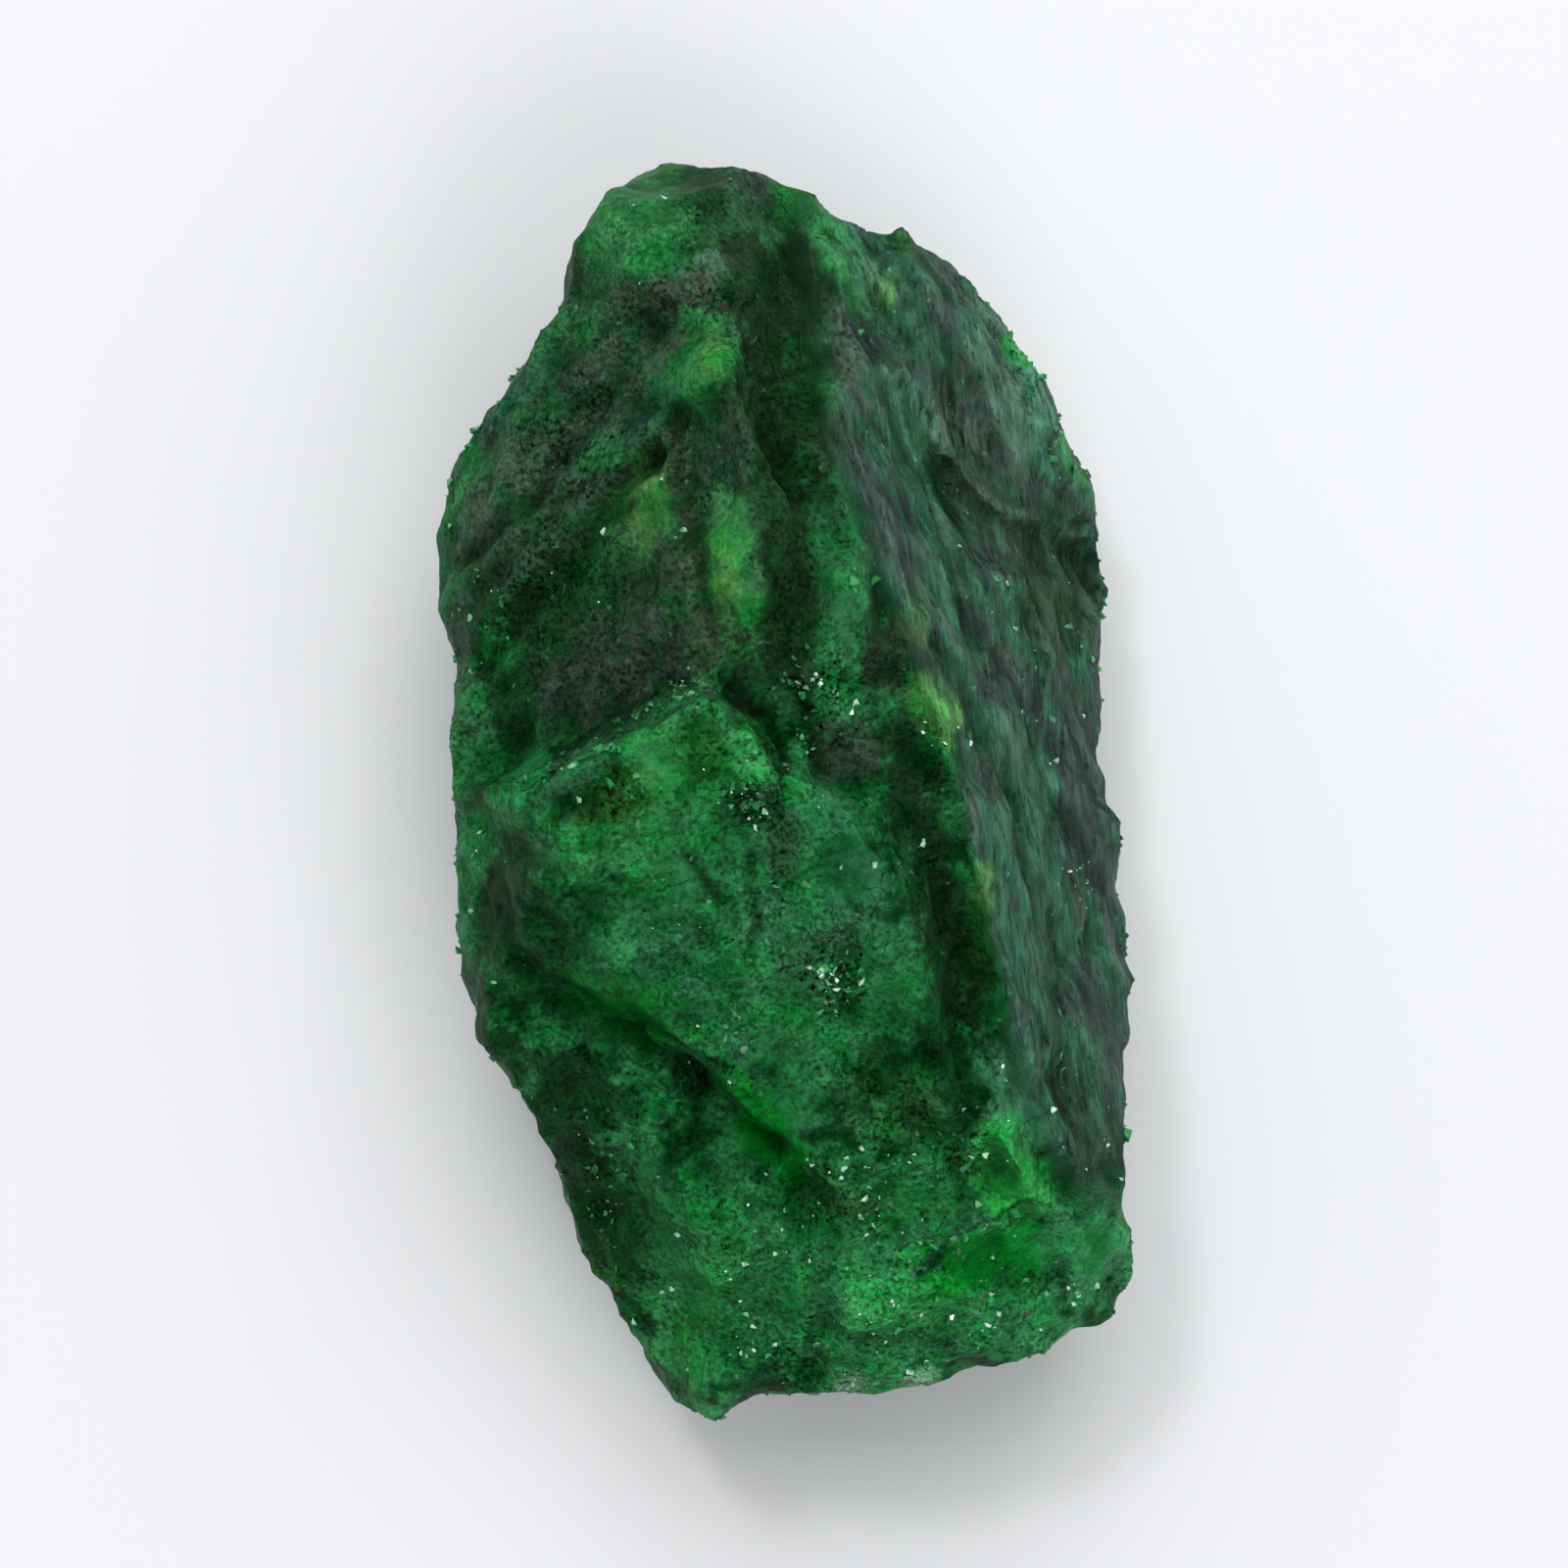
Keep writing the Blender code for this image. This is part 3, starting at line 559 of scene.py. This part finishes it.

# Where pits gather, where the stone is clear and where glints of fresh faces are painted: place, reach and
# strength
PITTED = [
    ((-1.3, -0.4), 1.4, 1.0), ((-2.8, 1.4), 1.4, 0.6), ((-0.6, -2.4), 1.3, 0.6), ((1.0, -6.8), 1.8, 0.8),
    ((-4.2, -10.4), 1.6, 0.8), ((0.2, -15.2), 1.4, 0.9), ((5.4, -14.0), 1.2, 0.9),
    ((-2.0, -22.0), 2.0, 0.9), ((-8.6, -13.0), 2.6, 0.8), ((-8.8, -18.0), 1.8, 0.8), ((2.2, 2.8), 1.8, 0.7),
    ((-5.6, 4.9), 3.0, 0.5), ((-2.4, 17.6), 2.2, 0.5), ((-2.4, 20.0), 1.6, 0.2), ((0.0, 22.2), 1.4, 0.5),
    ((-8.0, 8.4), 2.8, 0.9), ((-6.4, 13.0), 2.8, 0.6), ((-6.2, 0.4), 1.2, 0.7), ((3.0, -12.0), 2.4, 0.6),
    ((8.0, 12.6), 1.6, 0.4), ((10.5, 5.0), 2.0, 0.4), ((9.4, -12.0), 2.4, 0.5), ((3.8, 15.4), 1.2, 0.6),
    ((-4.0, -6.0), 3.0, 0.3), ((1.0, -20.0), 5.0, 0.3),
]
CLEAR = [
    ((-1.05, 9.2), 1.3, 0.9), ((-1.0, 7.2), 1.3, 0.9), ((-4.0, 10.8), 1.8, 0.5), ((-3.4, 21.8), 2.2, 0.4),
    ((-1.8, 15.9), 1.5, 0.6), ((2.7, 6.6), 1.4, 0.6), ((-4.2, 1.2), 1.3, 0.6), ((2.3, -3.6), 1.6, 0.8),
    ((5.2, -18.2), 1.5, 1.0), ((7.0, -18.0), 1.2, 0.9), ((6.9, -15.0), 1.4, 0.8), ((7.2, -12.4), 1.5, 0.7),
    ((-1.9, -12.6), 1.4, 0.8), ((-6.8, -7.8), 1.8, 0.6), ((-4.6, -3.6), 1.8, 0.4), ((9.6, -18.6), 1.6, 0.6),
]
GLINTING = [
    ((1.0, -7.2), 1.5, 1.0), ((-3.1, 3.9), 1.2, 0.9), ((1.2, 3.6), 1.4, 0.9), ((2.6, 2.7), 1.2, 0.8),
    ((0.6, 1.2), 1.0, 0.7), ((-1.4, -0.4), 1.3, 0.8), ((-12.0, -1.4), 1.4, 0.5), ((-2.8, -8.6), 2.0, 0.7),
    ((0.0, -22.8), 1.4, 1.0), ((2.7, -22.6), 1.4, 1.0), ((5.4, -20.8), 1.6, 0.8), ((8.6, -20.0), 1.6, 0.7),
    ((-3.8, -20.8), 1.4, 0.6), ((-8.8, -14.0), 3.4, 0.25), ((3.2, -3.0), 1.0, 0.6),
    ((10.4, -4.6), 1.4, 0.6), ((-10.4, 8.0), 2.0, 0.5), ((6.0, 17.8), 1.2, 0.5), ((-0.4, -4.8), 1.6, 0.6),
    ((5.6, -13.6), 1.8, 0.7), ((-4.4, -19.0), 4.0, 0.4), ((2.0, -18.6), 4.0, 0.5), ((-4.0, -3.0), 5.0, 0.3),
    ((-3.4, 19.8), 3.0, 0.3),
]
# How pitted the smoothest stone is and how much more the roughest, and what a clear place takes away
LEAST_PITTED = 0.34
PIT_RANGE = 0.66
CLEARING = 0.8
# Pits and glints that lie anywhere, and how many fewer glints the roof has than the sides
STRAY_PITS = 0.4
STRAY_GLINTS = 0.4
FEWER_ON_ROOF = 0.28


def gathered(places):
    """How strongly each point lies in the places of a list."""
    total = np.zeros(len(plan))
    for centre, reach, strength in places:
        near = ease(1.2 + 0.5 * ragged - np.hypot(*(plan - np.array(centre)).T) / reach)
        total = np.maximum(total, strength * near)
    return total


stray_pits = STRAY_PITS * ease(0.2 + 1.2 * clouds(final, 2.6, 83.0, 4))
pitted = np.maximum(gathered(PITTED) * upward, stray_pits)
pitted = np.clip(LEAST_PITTED + PIT_RANGE * pitted - CLEARING * gathered(CLEAR) * upward, 0, 1)
stray_glints = (STRAY_GLINTS - FEWER_ON_ROOF * upward) * ease(0.2 + 1.2 * clouds(final, 3.0, 89.0, 3))
glinting = np.maximum(gathered(GLINTING) * upward, stray_glints)
# the paint, with its painted shade, light, sheen and glints, and the finish: how waxy, how pitted, and where
# glints are painted
for name, values in (
    ("paint", np.column_stack([coat, np.ones(len(coat))])),
    ("finish_and_glints", np.column_stack([waxy, pitted, glinting, np.ones(len(coat))])),
):
    layer = stone.data.attributes.new(name, "FLOAT_COLOR", "POINT")
    layer.data.foreach_set("color", values.ravel())

# the flat break that it rests on needs no fine skin
pick_only(stone)
for face in stone.data.polygons:
    face.select = all(stone.data.vertices[corner].co.z == 0 for corner in face.vertices)
bpy.ops.object.mode_set(mode="EDIT")
bpy.ops.mesh.select_mode(type="FACE")
bpy.ops.mesh.dissolve_limited(angle_limit=math.radians(1))
bpy.ops.object.mode_set(mode="OBJECT")

# Tints of clear and of clouded grains, the black between grains, and dull and bright painted glints on fresh
# faces
CLEAR_TINT = (0.35, 1.0, 0.60, 1)
CLOUDED_TINT = (1.35, 1.0, 1.15, 1)
PIT_BLACK = (0.0015, 0.006, 0.003, 1)
DULL_PAINTED_GLINT = (0.10, 0.38, 0.17, 1)
BRIGHT_PAINTED_GLINT = (0.55, 0.82, 0.64, 1)
# Turn of the striations on the plan, and how far they draw out the grain
STRIATION_TURN = -16
DRAWN_OUT = 0.16


def new_material(name, values):
    """A material, its tree and its shader, with the values on the shader's own sockets."""
    material = bpy.data.materials.new(name)
    material.use_nodes = True
    shader = material.node_tree.nodes["Principled BSDF"]
    for socket, value in values.items():
        shader.inputs[socket].default_value = value
    return material, material.node_tree, shader


def feed(tree, socket, value):
    """Gives a socket a value, or links it to another one."""
    if isinstance(value, bpy.types.NodeSocket):
        tree.links.new(value, socket)
    else:
        socket.default_value = value


def new_node(tree, kind, **settings):
    """A node of the kind, with its inputs and its settings by name."""
    made = tree.nodes.new("ShaderNode" + kind)
    for name, value in settings.items():
        if name in made.inputs:
            feed(tree, made.inputs[name], value)
        else:
            setattr(made, name, value)
    return made


def vector_math(tree, operation, first, second, given="Vector"):
    """The result of an operation on two places or colours, or on one of them and a scale."""
    made = new_node(tree, "VectorMath", operation=operation)
    feed(tree, made.inputs[0], first)
    feed(tree, made.inputs["Scale"] if operation == "SCALE" else made.inputs[1], second)
    return made.outputs[given]


def remap(tree, source, low, high, new_low, new_high):
    """A value from low to high, eased into the new range."""
    made = new_node(tree, "MapRange", interpolation_type="SMOOTHSTEP", Value=source)
    for name, value in zip(("From Min", "From Max", "To Min", "To Max"), (low, high, new_low, new_high)):
        feed(tree, made.inputs[name], value)
    return made.outputs["Result"]


def combine(tree, operation, *terms):
    """The result of an operation on two or three numbers."""
    made = new_node(tree, "Math", operation=operation)
    for socket, term in zip(made.inputs, terms):
        feed(tree, socket, term)
    return made.outputs["Value"]


def mix(tree, part, first, second, **settings):
    """The first colour or place, with a part of the second."""
    return new_node(tree, "MixRGB", Fac=part, Color1=first, Color2=second, **settings).outputs["Color"]


def place_in_mm(tree):
    """The place of each point of the piece in mm."""
    where = new_node(tree, "TexCoord").outputs["Object"]
    return new_node(tree, "Mapping", Vector=where, Scale=(1000, 1000, 1000)).outputs["Vector"]


def cleavage(tree, place, scale):
    """Small flat faces, each tilted its own way: their height in mm."""
    faces = new_node(tree, "TexVoronoi", Vector=place, Scale=scale)
    off = vector_math(tree, "SUBTRACT", place, faces.outputs["Position"])
    tilt = vector_math(tree, "SUBTRACT", faces.outputs["Color"], (0.5, 0.5, 0.5))
    return vector_math(tree, "DOT_PRODUCT", off, tilt, "Value")


def emerald_rough():
    """Granular green beryl with dark gaps between its grains and a waxy shine."""
    material, tree, shader = new_material("emerald_rough", {"IOR": 1.45, "Specular IOR Level": 0.07})
    place = place_in_mm(tree)
    paint = new_node(tree, "Attribute", attribute_name="paint").outputs["Color"]
    finish_and_glints = new_node(tree, "Attribute", attribute_name="finish_and_glints").outputs["Color"]
    waxy_part, pitted_part, glinting_part = new_node(tree, "SeparateColor", Color=finish_and_glints).outputs

    # places wander, so that no pattern runs straight
    wander = new_node(tree, "TexNoise", Vector=place, Scale=1.6, Detail=1.5, Roughness=0.6)
    bent = mix(tree, 0.35, place, wander.outputs["Color"], blend_type="LINEAR_LIGHT")

    # on the waxy flank the grain is drawn out along its striations
    turn = (0, 0, math.radians(STRIATION_TURN))
    drawn_out = new_node(tree, "Mapping", Vector=place, Rotation=turn, Scale=(1.0, DRAWN_OUT, 1.0))
    grain_place = mix(tree, waxy_part, place, drawn_out.outputs["Vector"])

    # mottling from 2 mm down to a tenth, and the grain itself, stronger where the stone is granular
    mottle = new_node(tree, "TexNoise", Vector=bent, Scale=0.7, Detail=6.0, Roughness=0.64)
    grain = new_node(tree, "TexNoise", Vector=grain_place, Scale=5.0, Detail=5.0, Roughness=0.82)
    single = new_node(tree, "TexVoronoi", Vector=grain_place, Scale=6.5)
    own = new_node(tree, "SeparateColor", Color=single.outputs["Color"])
    grit = combine(tree, "MULTIPLY_ADD", pitted_part, 0.75, remap(tree, waxy_part, 0, 1, 0.30, 0.15))
    light = combine(tree, "MULTIPLY_ADD", mottle.outputs["Fac"], 0.40, grain.outputs["Fac"])
    light = combine(tree, "MULTIPLY_ADD", own.outputs["Red"], 0.20, light)
    light = remap(tree, light, 0.50, 1.10, -1.45, 1.45)
    light = combine(tree, "MULTIPLY_ADD", light, grit, 1.0)
    lit = vector_math(tree, "SCALE", paint, light)

    # clear grains are a purer green, and clouded ones greyer
    purity = new_node(tree, "SeparateColor", Color=mottle.outputs["Color"])
    clouded = combine(tree, "MULTIPLY_ADD", own.outputs["Green"], 0.08, purity.outputs["Blue"])
    clouded = remap(tree, clouded, 0.38, 0.66, remap(tree, waxy_part, 0, 1, 0.0, 0.6), 0.9)
    tinted = vector_math(tree, "MULTIPLY", lit, mix(tree, clouded, CLEAR_TINT, CLOUDED_TINT))

    # black pits between the grains, and long hairlines
    pit = combine(tree, "MULTIPLY_ADD", waxy_part, -0.01, grain.outputs["Fac"])
    pit = combine(tree, "MULTIPLY_ADD", pitted_part, -0.15, pit)
    pit = remap(tree, pit, 0.23, 0.29, 1, 0)
    net = new_node(tree, "TexVoronoi", Vector=bent, Scale=0.85, feature="DISTANCE_TO_EDGE")
    hairline = remap(tree, net.outputs["Distance"], 0.004, 0.034, 1, 0)
    hairline = combine(tree, "MULTIPLY", hairline, remap(tree, purity.outputs["Red"], 0.50, 0.62, 0, 0.8))
    hairline = combine(tree, "MULTIPLY", hairline, remap(tree, waxy_part, 0, 1, 1.0, 0.2))
    gap = combine(tree, "MAXIMUM", hairline, pit)
    darkened = mix(tree, combine(tree, "MULTIPLY", gap, 0.9), tinted, PIT_BLACK)

    # painted glints: small pale specks of fresh faces, in clusters, each inside a cell of its own
    speck = new_node(tree, "TexVoronoi", Vector=bent, Scale=3.6, distance="MANHATTAN")
    lot = new_node(tree, "SeparateColor", Color=speck.outputs["Color"])
    chosen = combine(tree, "MULTIPLY_ADD", glinting_part, 0.42, lot.outputs["Green"])
    reach = remap(tree, lot.outputs["Blue"], 0, 1, 0.20, 0.60)
    inside = combine(tree, "LESS_THAN", speck.outputs["Distance"], reach)
    glint = combine(tree, "MULTIPLY", inside, remap(tree, chosen, 0.985, 1.0, 0, 1))
    glint = combine(tree, "MULTIPLY", glint, remap(tree, grain.outputs["Fac"], 0.40, 0.48, 0, 1))
    painted_glint_colour = mix(tree, combine(tree, "MULTIPLY", lot.outputs["Red"], glinting_part), DULL_PAINTED_GLINT, BRIGHT_PAINTED_GLINT)
    with_painted_glints = mix(tree, combine(tree, "MULTIPLY", glint, 0.85), darkened, painted_glint_colour)
    feed(tree, shader.inputs["Base Color"], with_painted_glints)

    # gaps are matt, and fresh faces shine
    shine = remap(tree, mottle.outputs["Fac"], 0.35, 0.65, 0.28, 0.42)
    shine = combine(tree, "MULTIPLY_ADD", gap, 0.35, shine)
    shine = combine(tree, "MULTIPLY_ADD", glint, -0.14, shine)
    feed(tree, shader.inputs["Roughness"], shine)

    # the fine break of the surface: heights in mm
    height = combine(tree, "MULTIPLY", grain.outputs["Fac"], 0.40)
    height = combine(tree, "MULTIPLY_ADD", cleavage(tree, bent, 1.9), 0.6, height)
    height = combine(tree, "MULTIPLY", height, remap(tree, waxy_part, 0, 1, 1.0, 0.5))
    height = combine(tree, "MULTIPLY_ADD", pit, -0.06, height)
    bump = new_node(tree, "Bump", Strength=1.0, Distance=MM, Height=height)
    feed(tree, shader.inputs["Normal"], bump.outputs["Normal"])
    return material


stone.data.materials.clear()
stone.data.materials.append(emerald_rough())
pick_only(stone)
bpy.ops.object.shade_smooth_by_angle(angle=math.radians(40))
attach(stone, "root")
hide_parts("rough_emerald")

# The clinging grains
# Angular chips of the same stone, some tenths of a millimetre across, that broke loose along its
# rims and ledges and still cling there, half sunk in the surface.

# Width in mm of the cube that a grain starts from
GRAIN = 0.34
# The planes that cut it: direction, and how far out along it, as a part of the width
CUTS = [
    ((0.8, 0.5, 0.3), 0.34), ((-0.5, 0.7, -0.4), 0.36), ((0.1, -0.8, 0.6), 0.38), ((-0.6, -0.3, 0.7), 0.33),
]
bpy.ops.mesh.primitive_cube_add(size=GRAIN * MM, location=(0, 0, 0))
grain = bpy.context.object
bpy.ops.object.mode_set(mode="EDIT")
for lean, cut in CUTS:
    bpy.ops.mesh.select_all(action="SELECT")
    middle = [cut * GRAIN * MM * part for part in lean]
    bpy.ops.mesh.bisect(plane_co=middle, plane_no=lean, use_fill=True, clear_outer=True)
bpy.ops.object.mode_set(mode="OBJECT")

# Fixes where the grains and the crystals lie, and how large and how tumbled each one is
GRAIN_SEED = 5
chance = np.random.default_rng(GRAIN_SEED)
# A height above all of the stone and a distance beyond all of it in mm
OVER = 30
BEYOND = 40
# Once round the stone, and how far a grain may tumble about each axis, in radians
ROUND = 6.28
TUMBLE = 6.3


def on_roof(x, y):
    """The place under a point of the plan, or None beside the stone."""
    hit, place, _, _ = stone.ray_cast((x * MM, y * MM, OVER * MM), (0, 0, -1))
    return place if hit else None


# A line inside the stone, towards which its rims are looked for: x, and the ends of its y, in mm
SPINE = 0.5
SPINE_FOOT = -15
SPINE_HEAD = 13


def on_rim(x, y):
    """The place where the stone reaches out farthest on the way in from a point beside it."""
    inside = Vector((SPINE, np.clip(y, SPINE_FOOT, SPINE_HEAD)))
    start = inside + 1.5 * (Vector((x, y)) - inside)
    way = inside - start
    found = []
    for height in np.arange(2.0, 20.0, 1.0):
        hit, place, _, _ = stone.ray_cast(
            (start.x * MM, start.y * MM, height * MM), Vector((way.x, way.y, 0)).normalized()
        )
        if hit:
            found.append((Vector((place.x - start.x * MM, place.y - start.y * MM)).length, place.copy()))
    return min(found, key=lambda pair: pair[0])[1] if found else None


def on_sides(count, lowest, reach):
    """Places all round the broken sides, from the lowest height in mm up through the reach above it."""
    found = []
    for turn, height in zip(ROUND * chance.random(count), lowest + reach * chance.random(count)):
        way = Vector((math.cos(turn), math.sin(turn), 0))
        start = Vector((0, 0, height * MM)) + BEYOND * MM * way
        hit, place, _, _ = stone.ray_cast(start, -way)
        found.append(place if hit else None)
    return found


def scatter(name, spots, small, large):
    """Copies of the grain at the spots, from small to large times its width, as one piece."""
    copies = []
    for spot in spots:
        if spot is None:
            continue
        copy = grain.copy()
        copy.data = grain.data.copy()
        size = small + (large - small) * chance.random() ** 2
        turn = Euler(chance.random(3) * TUMBLE).to_matrix().to_4x4()
        width = size * (0.5 + 0.4 * chance.random())
        thickness = size * (0.3 + 0.4 * chance.random())
        copy.data.transform(Matrix.Translation(spot) @ turn @ Matrix.Diagonal((size, width, thickness, 1)))
        bpy.context.scene.collection.objects.link(copy)
        copies.append(copy)
    pick_only(copies[0])
    for copy in copies:
        copy.select_set(True)
    bpy.ops.object.join()
    piece = bpy.context.object
    piece.name = name
    held = np.clip(read_points(piece), cad_box[0], cad_box[1])
    piece.data.vertices.foreach_set("co", held.ravel())
    return piece


def along(path, count, stray):
    """Points of the plan along a path, each a little astray."""
    lengths = np.cumsum([0] + [math.dist(a, b) for a, b in zip(path[:-1], path[1:])])
    steps = chance.random(count) * lengths[-1]
    xs = np.interp(steps, lengths, [x for x, _ in path])
    ys = np.interp(steps, lengths, [y for _, y in path])
    return np.column_stack([xs, ys]) + stray * chance.normal(size=(count, 2))


# Along the rims, seen from above: line and number of grains
RIMS = [
    ([(-6.0, -23.3), (-4.3, -23.0), (2.7, -23.3), (7.3, -22.3), (10.3, -20.7), (11.3, -18.3)], 60),
    ([(11.3, -14.6), (11.3, -12.8)], 6),
    ([(12.3, -8.0), (12.5, -3.0), (12.7, 3.7)], 10),
    ([(12.9, 5.0), (13.3, 10.3), (11.8, 13.7), (10.7, 16.3), (8.7, 19.0)], 34),
    ([(-8.4, 18.0), (-10.4, 16.4), (-12.6, 12.0)], 12),
    ([(-13.0, 2.0), (-13.2, -3.0), (-9.6, -13.0)], 10),
]
RIM_STRAY = 0.15
# On the roof: line, number of grains and how far they stray
SHELVES = [
    ([(-9.6, 1.0), (-6.2, 2.2), (-3.4, 3.8), (-2.2, 4.0)], 40, 0.20),
    ([(0.4, 3.8), (1.6, 3.3), (2.8, 2.7)], 24, 0.30),
    ([(-6.0, 0.6), (-4.4, 0.6)], 8, 0.4),
    ([(5.0, 0.9), (6.4, 1.4)], 12, 0.35),
    ([(-1.8, -0.2), (-0.8, -0.6)], 12, 0.35),
    ([(0.4, -6.4), (1.4, -7.6)], 14, 0.5),
    ([(10.0, 16.4), (11.0, 14.4), (12.2, 10.8)], 26, 0.35),
    ([(3.0, 6.4), (3.6, 7.4)], 8, 0.4),
    ([(-7.4, -13.0), (-8.8, -17.0)], 14, 0.7),
    ([(2.4, -18.6), (5.6, -16.9), (7.6, -16.8)], 18, 0.2),
    ([(-6.0, -21.6), (8.0, -20.6)], 40, 0.9),
]
SIDE_GRAINS = 70
spots = [on_rim(x, y) for path, count in RIMS for x, y in along(path, count, RIM_STRAY)]
spots += [on_roof(x, y) for path, count, stray in SHELVES for x, y in along(path, count, stray)]
spots += on_sides(SIDE_GRAINS, lowest=2, reach=12)
grains = scatter("clinging_grains", spots, small=0.4, large=1.5)


def two_toned(name, values, dark, light, scale, detail, low, high):
    """Stone in two tones, which follow soft patches over the piece."""
    material, tree, shader = new_material(name, values)
    tones = new_node(tree, "TexNoise", Vector=place_in_mm(tree), Scale=scale, Detail=detail, Roughness=0.7)
    part = remap(tree, tones.outputs["Fac"], low, high, 0, 1)
    feed(tree, shader.inputs["Base Color"], mix(tree, part, dark, light))
    return material


# Broken green grains, each of its own tone
GRAIN_DARK = (*PINE, 1)
GRAIN_LIGHT = (0.04, 0.34, 0.09, 1)
grain_gloss = {"Roughness": 0.32, "Specular IOR Level": 0.4}
grains.data.materials.append(
    two_toned(
        "grain_green", grain_gloss, GRAIN_DARK, GRAIN_LIGHT, scale=1.6, detail=3.0, low=0.38, high=0.62
    )
)
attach(grains, "root")

# The bright crystals
# Fresh faces of tiny crystals, one to three tenths of a millimetre across, that catch the light as
# pale specks in the granular parts of the stone; their pale colour is partly a painted glint.

# Clusters on the roof: middle, number of crystals and how far they stray in mm
SPARKS = [
    ((1.0, -7.2), 20, 0.4), ((-3.1, 3.9), 8, 0.25), ((1.2, 3.6), 12, 0.35), ((2.6, 2.7), 5, 0.3),
    ((0.8, 1.3), 5, 0.3), ((-1.3, -0.4), 16, 0.5), ((-11.6, -1.6), 6, 0.6), ((0.0, -22.6), 5, 0.25),
    ((2.7, -22.7), 6, 0.3), ((5.4, -20.8), 14, 0.4), ((1.3, -20.2), 12, 0.6), ((-3.8, -20.6), 10, 0.5),
    ((8.6, -20.0), 14, 0.6), ((0.4, -14.6), 16, 1.0), ((-4.0, -9.6), 4, 0.9), ((3.1, -3.1), 2, 0.1),
    ((4.8, -2.8), 2, 0.2), ((10.5, -4.5), 4, 0.4), ((5.6, 1.2), 6, 0.5), ((-10.4, 8.0), 5, 0.8),
    ((-8.6, -14.0), 5, 1.4), ((-5.0, -17.0), 16, 2.0), ((2.0, -17.6), 50, 2.6), ((-4.0, -3.0), 16, 3.0),
    ((-3.4, 20.0), 8, 1.4), ((-5.6, 12.0), 10, 2.6), ((9.0, -13.0), 8, 1.6), ((5.6, -13.6), 8, 1.0),
]
SIDE_CRYSTALS = 140
marks = [
    on_roof(*(np.array(centre) + stray * chance.normal(size=2)))
    for centre, count, stray in SPARKS
    for _ in range(count)
]
marks += on_sides(SIDE_CRYSTALS, lowest=1, reach=13)
crystals = scatter("bright_crystals", marks, small=0.22, large=0.95)

# Clear pale green crystal with a glassy shine; its palest colour is a painted glint
CRYSTAL_DARK = (0.12, 0.42, 0.20, 1)
CRYSTAL_PAINTED_GLINT = (0.62, 0.86, 0.70, 1)
crystal_gloss = {"Roughness": 0.15, "IOR": 1.57}
crystals.data.materials.append(
    two_toned(
        "crystal_with_painted_glint", crystal_gloss, CRYSTAL_DARK, CRYSTAL_PAINTED_GLINT, scale=1.1, detail=2.0, low=0.42, high=0.60
    )
)
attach(crystals, "root")
bpy.data.objects.remove(grain)

# The table
# A sheet of plain white paper, matt, flat and much wider than the stone, which lies loose on it, on
# the flat break below.

PAPER_WIDTH = 3.0
PAPER_WHITE = (0.82, 0.83, 0.85, 1)
bpy.ops.mesh.primitive_plane_add(size=PAPER_WIDTH, location=(0, 0, 0))
paper = bpy.context.object
paper.name = "paper"
paper_white, _, _ = new_material("paper_white", {"Base Color": PAPER_WHITE, "Roughness": 0.9})
paper.data.materials.append(paper_white)

# The light
# A bright room, darker overhead and towards the lower left, with soft panels beyond the head of the
# stone, on its left and beyond its foot, and one small lamp for the glints.

ROOM_WHITE = (0.98, 0.99, 1.0, 1)
# How bright the room is level with the stone and overhead, and what is left of it on the lower left
LEVEL = 0.62
OVERHEAD = 0.08
SHADED = 0.08
LOWER_LEFT = (-0.92, -0.38, 0)
sky = bpy.data.worlds.new("room")
bpy.context.scene.world = sky
sky.use_nodes = True
room = sky.node_tree
sight = new_node(room, "TexCoord").outputs["Generated"]
rise = new_node(room, "SeparateXYZ", Vector=sight).outputs["Z"]
leftness = vector_math(room, "DOT_PRODUCT", sight, LOWER_LEFT, "Value")
by_rise = remap(room, rise, 0.80, 0.95, LEVEL, OVERHEAD)
by_side = remap(room, leftness, 0.1, 0.8, 1.0, SHADED)
strength = combine(room, "MULTIPLY", by_rise, by_side)
feed(room, room.nodes["Background"].inputs["Strength"], strength)
feed(room, room.nodes["Background"].inputs["Color"], ROOM_WHITE)


def softbox(name, compass, rise, distance, size, watts):
    """A square lamp that faces the stone, at a compass angle from +X and a rise above the table."""
    turn, lift = math.radians(compass), math.radians(rise)
    place = distance * Vector(
        (math.cos(turn) * math.cos(lift), math.sin(turn) * math.cos(lift), math.sin(lift))
    )
    lamp = bpy.data.lights.new(name, "AREA")
    lamp.shape = "SQUARE"
    lamp.size = size
    lamp.energy = watts
    holder = bpy.data.objects.new(name, lamp)
    holder.location = place
    holder.rotation_euler = place.to_track_quat("Z", "Y").to_euler()
    bpy.context.scene.collection.objects.link(holder)


softbox("panel_top", compass=80, rise=56, distance=1.0, size=0.8, watts=5.8)
softbox("panel_left", compass=165, rise=50, distance=1.0, size=0.7, watts=0.7)
softbox("panel_near", compass=-70, rise=55, distance=1.0, size=0.7, watts=2.6)
softbox("small_lamp", compass=110, rise=60, distance=0.8, size=0.10, watts=0.9)

# The camera
# It looks straight down from well above, turned a little so that the stone leans left. At the view
# level, above the paper, its frame is as wide as the view.

LENS = 135
SENSOR = 36
VIEW_WIDTH = 0.060
VIEW_LEVEL = 0.008
LEAN = 6
camera = bpy.data.cameras.new("camera")
camera.lens = LENS
camera.sensor_width = SENSOR
camera.clip_start = 0.01
eye = bpy.data.objects.new("camera", camera)
eye.location = (0, 0, VIEW_LEVEL + VIEW_WIDTH * LENS / SENSOR)
eye.rotation_euler = (0, 0, math.radians(-LEAN))
bpy.context.scene.collection.objects.link(eye)
bpy.context.scene.camera = eye
bpy.context.scene.view_settings.view_transform = "Standard"
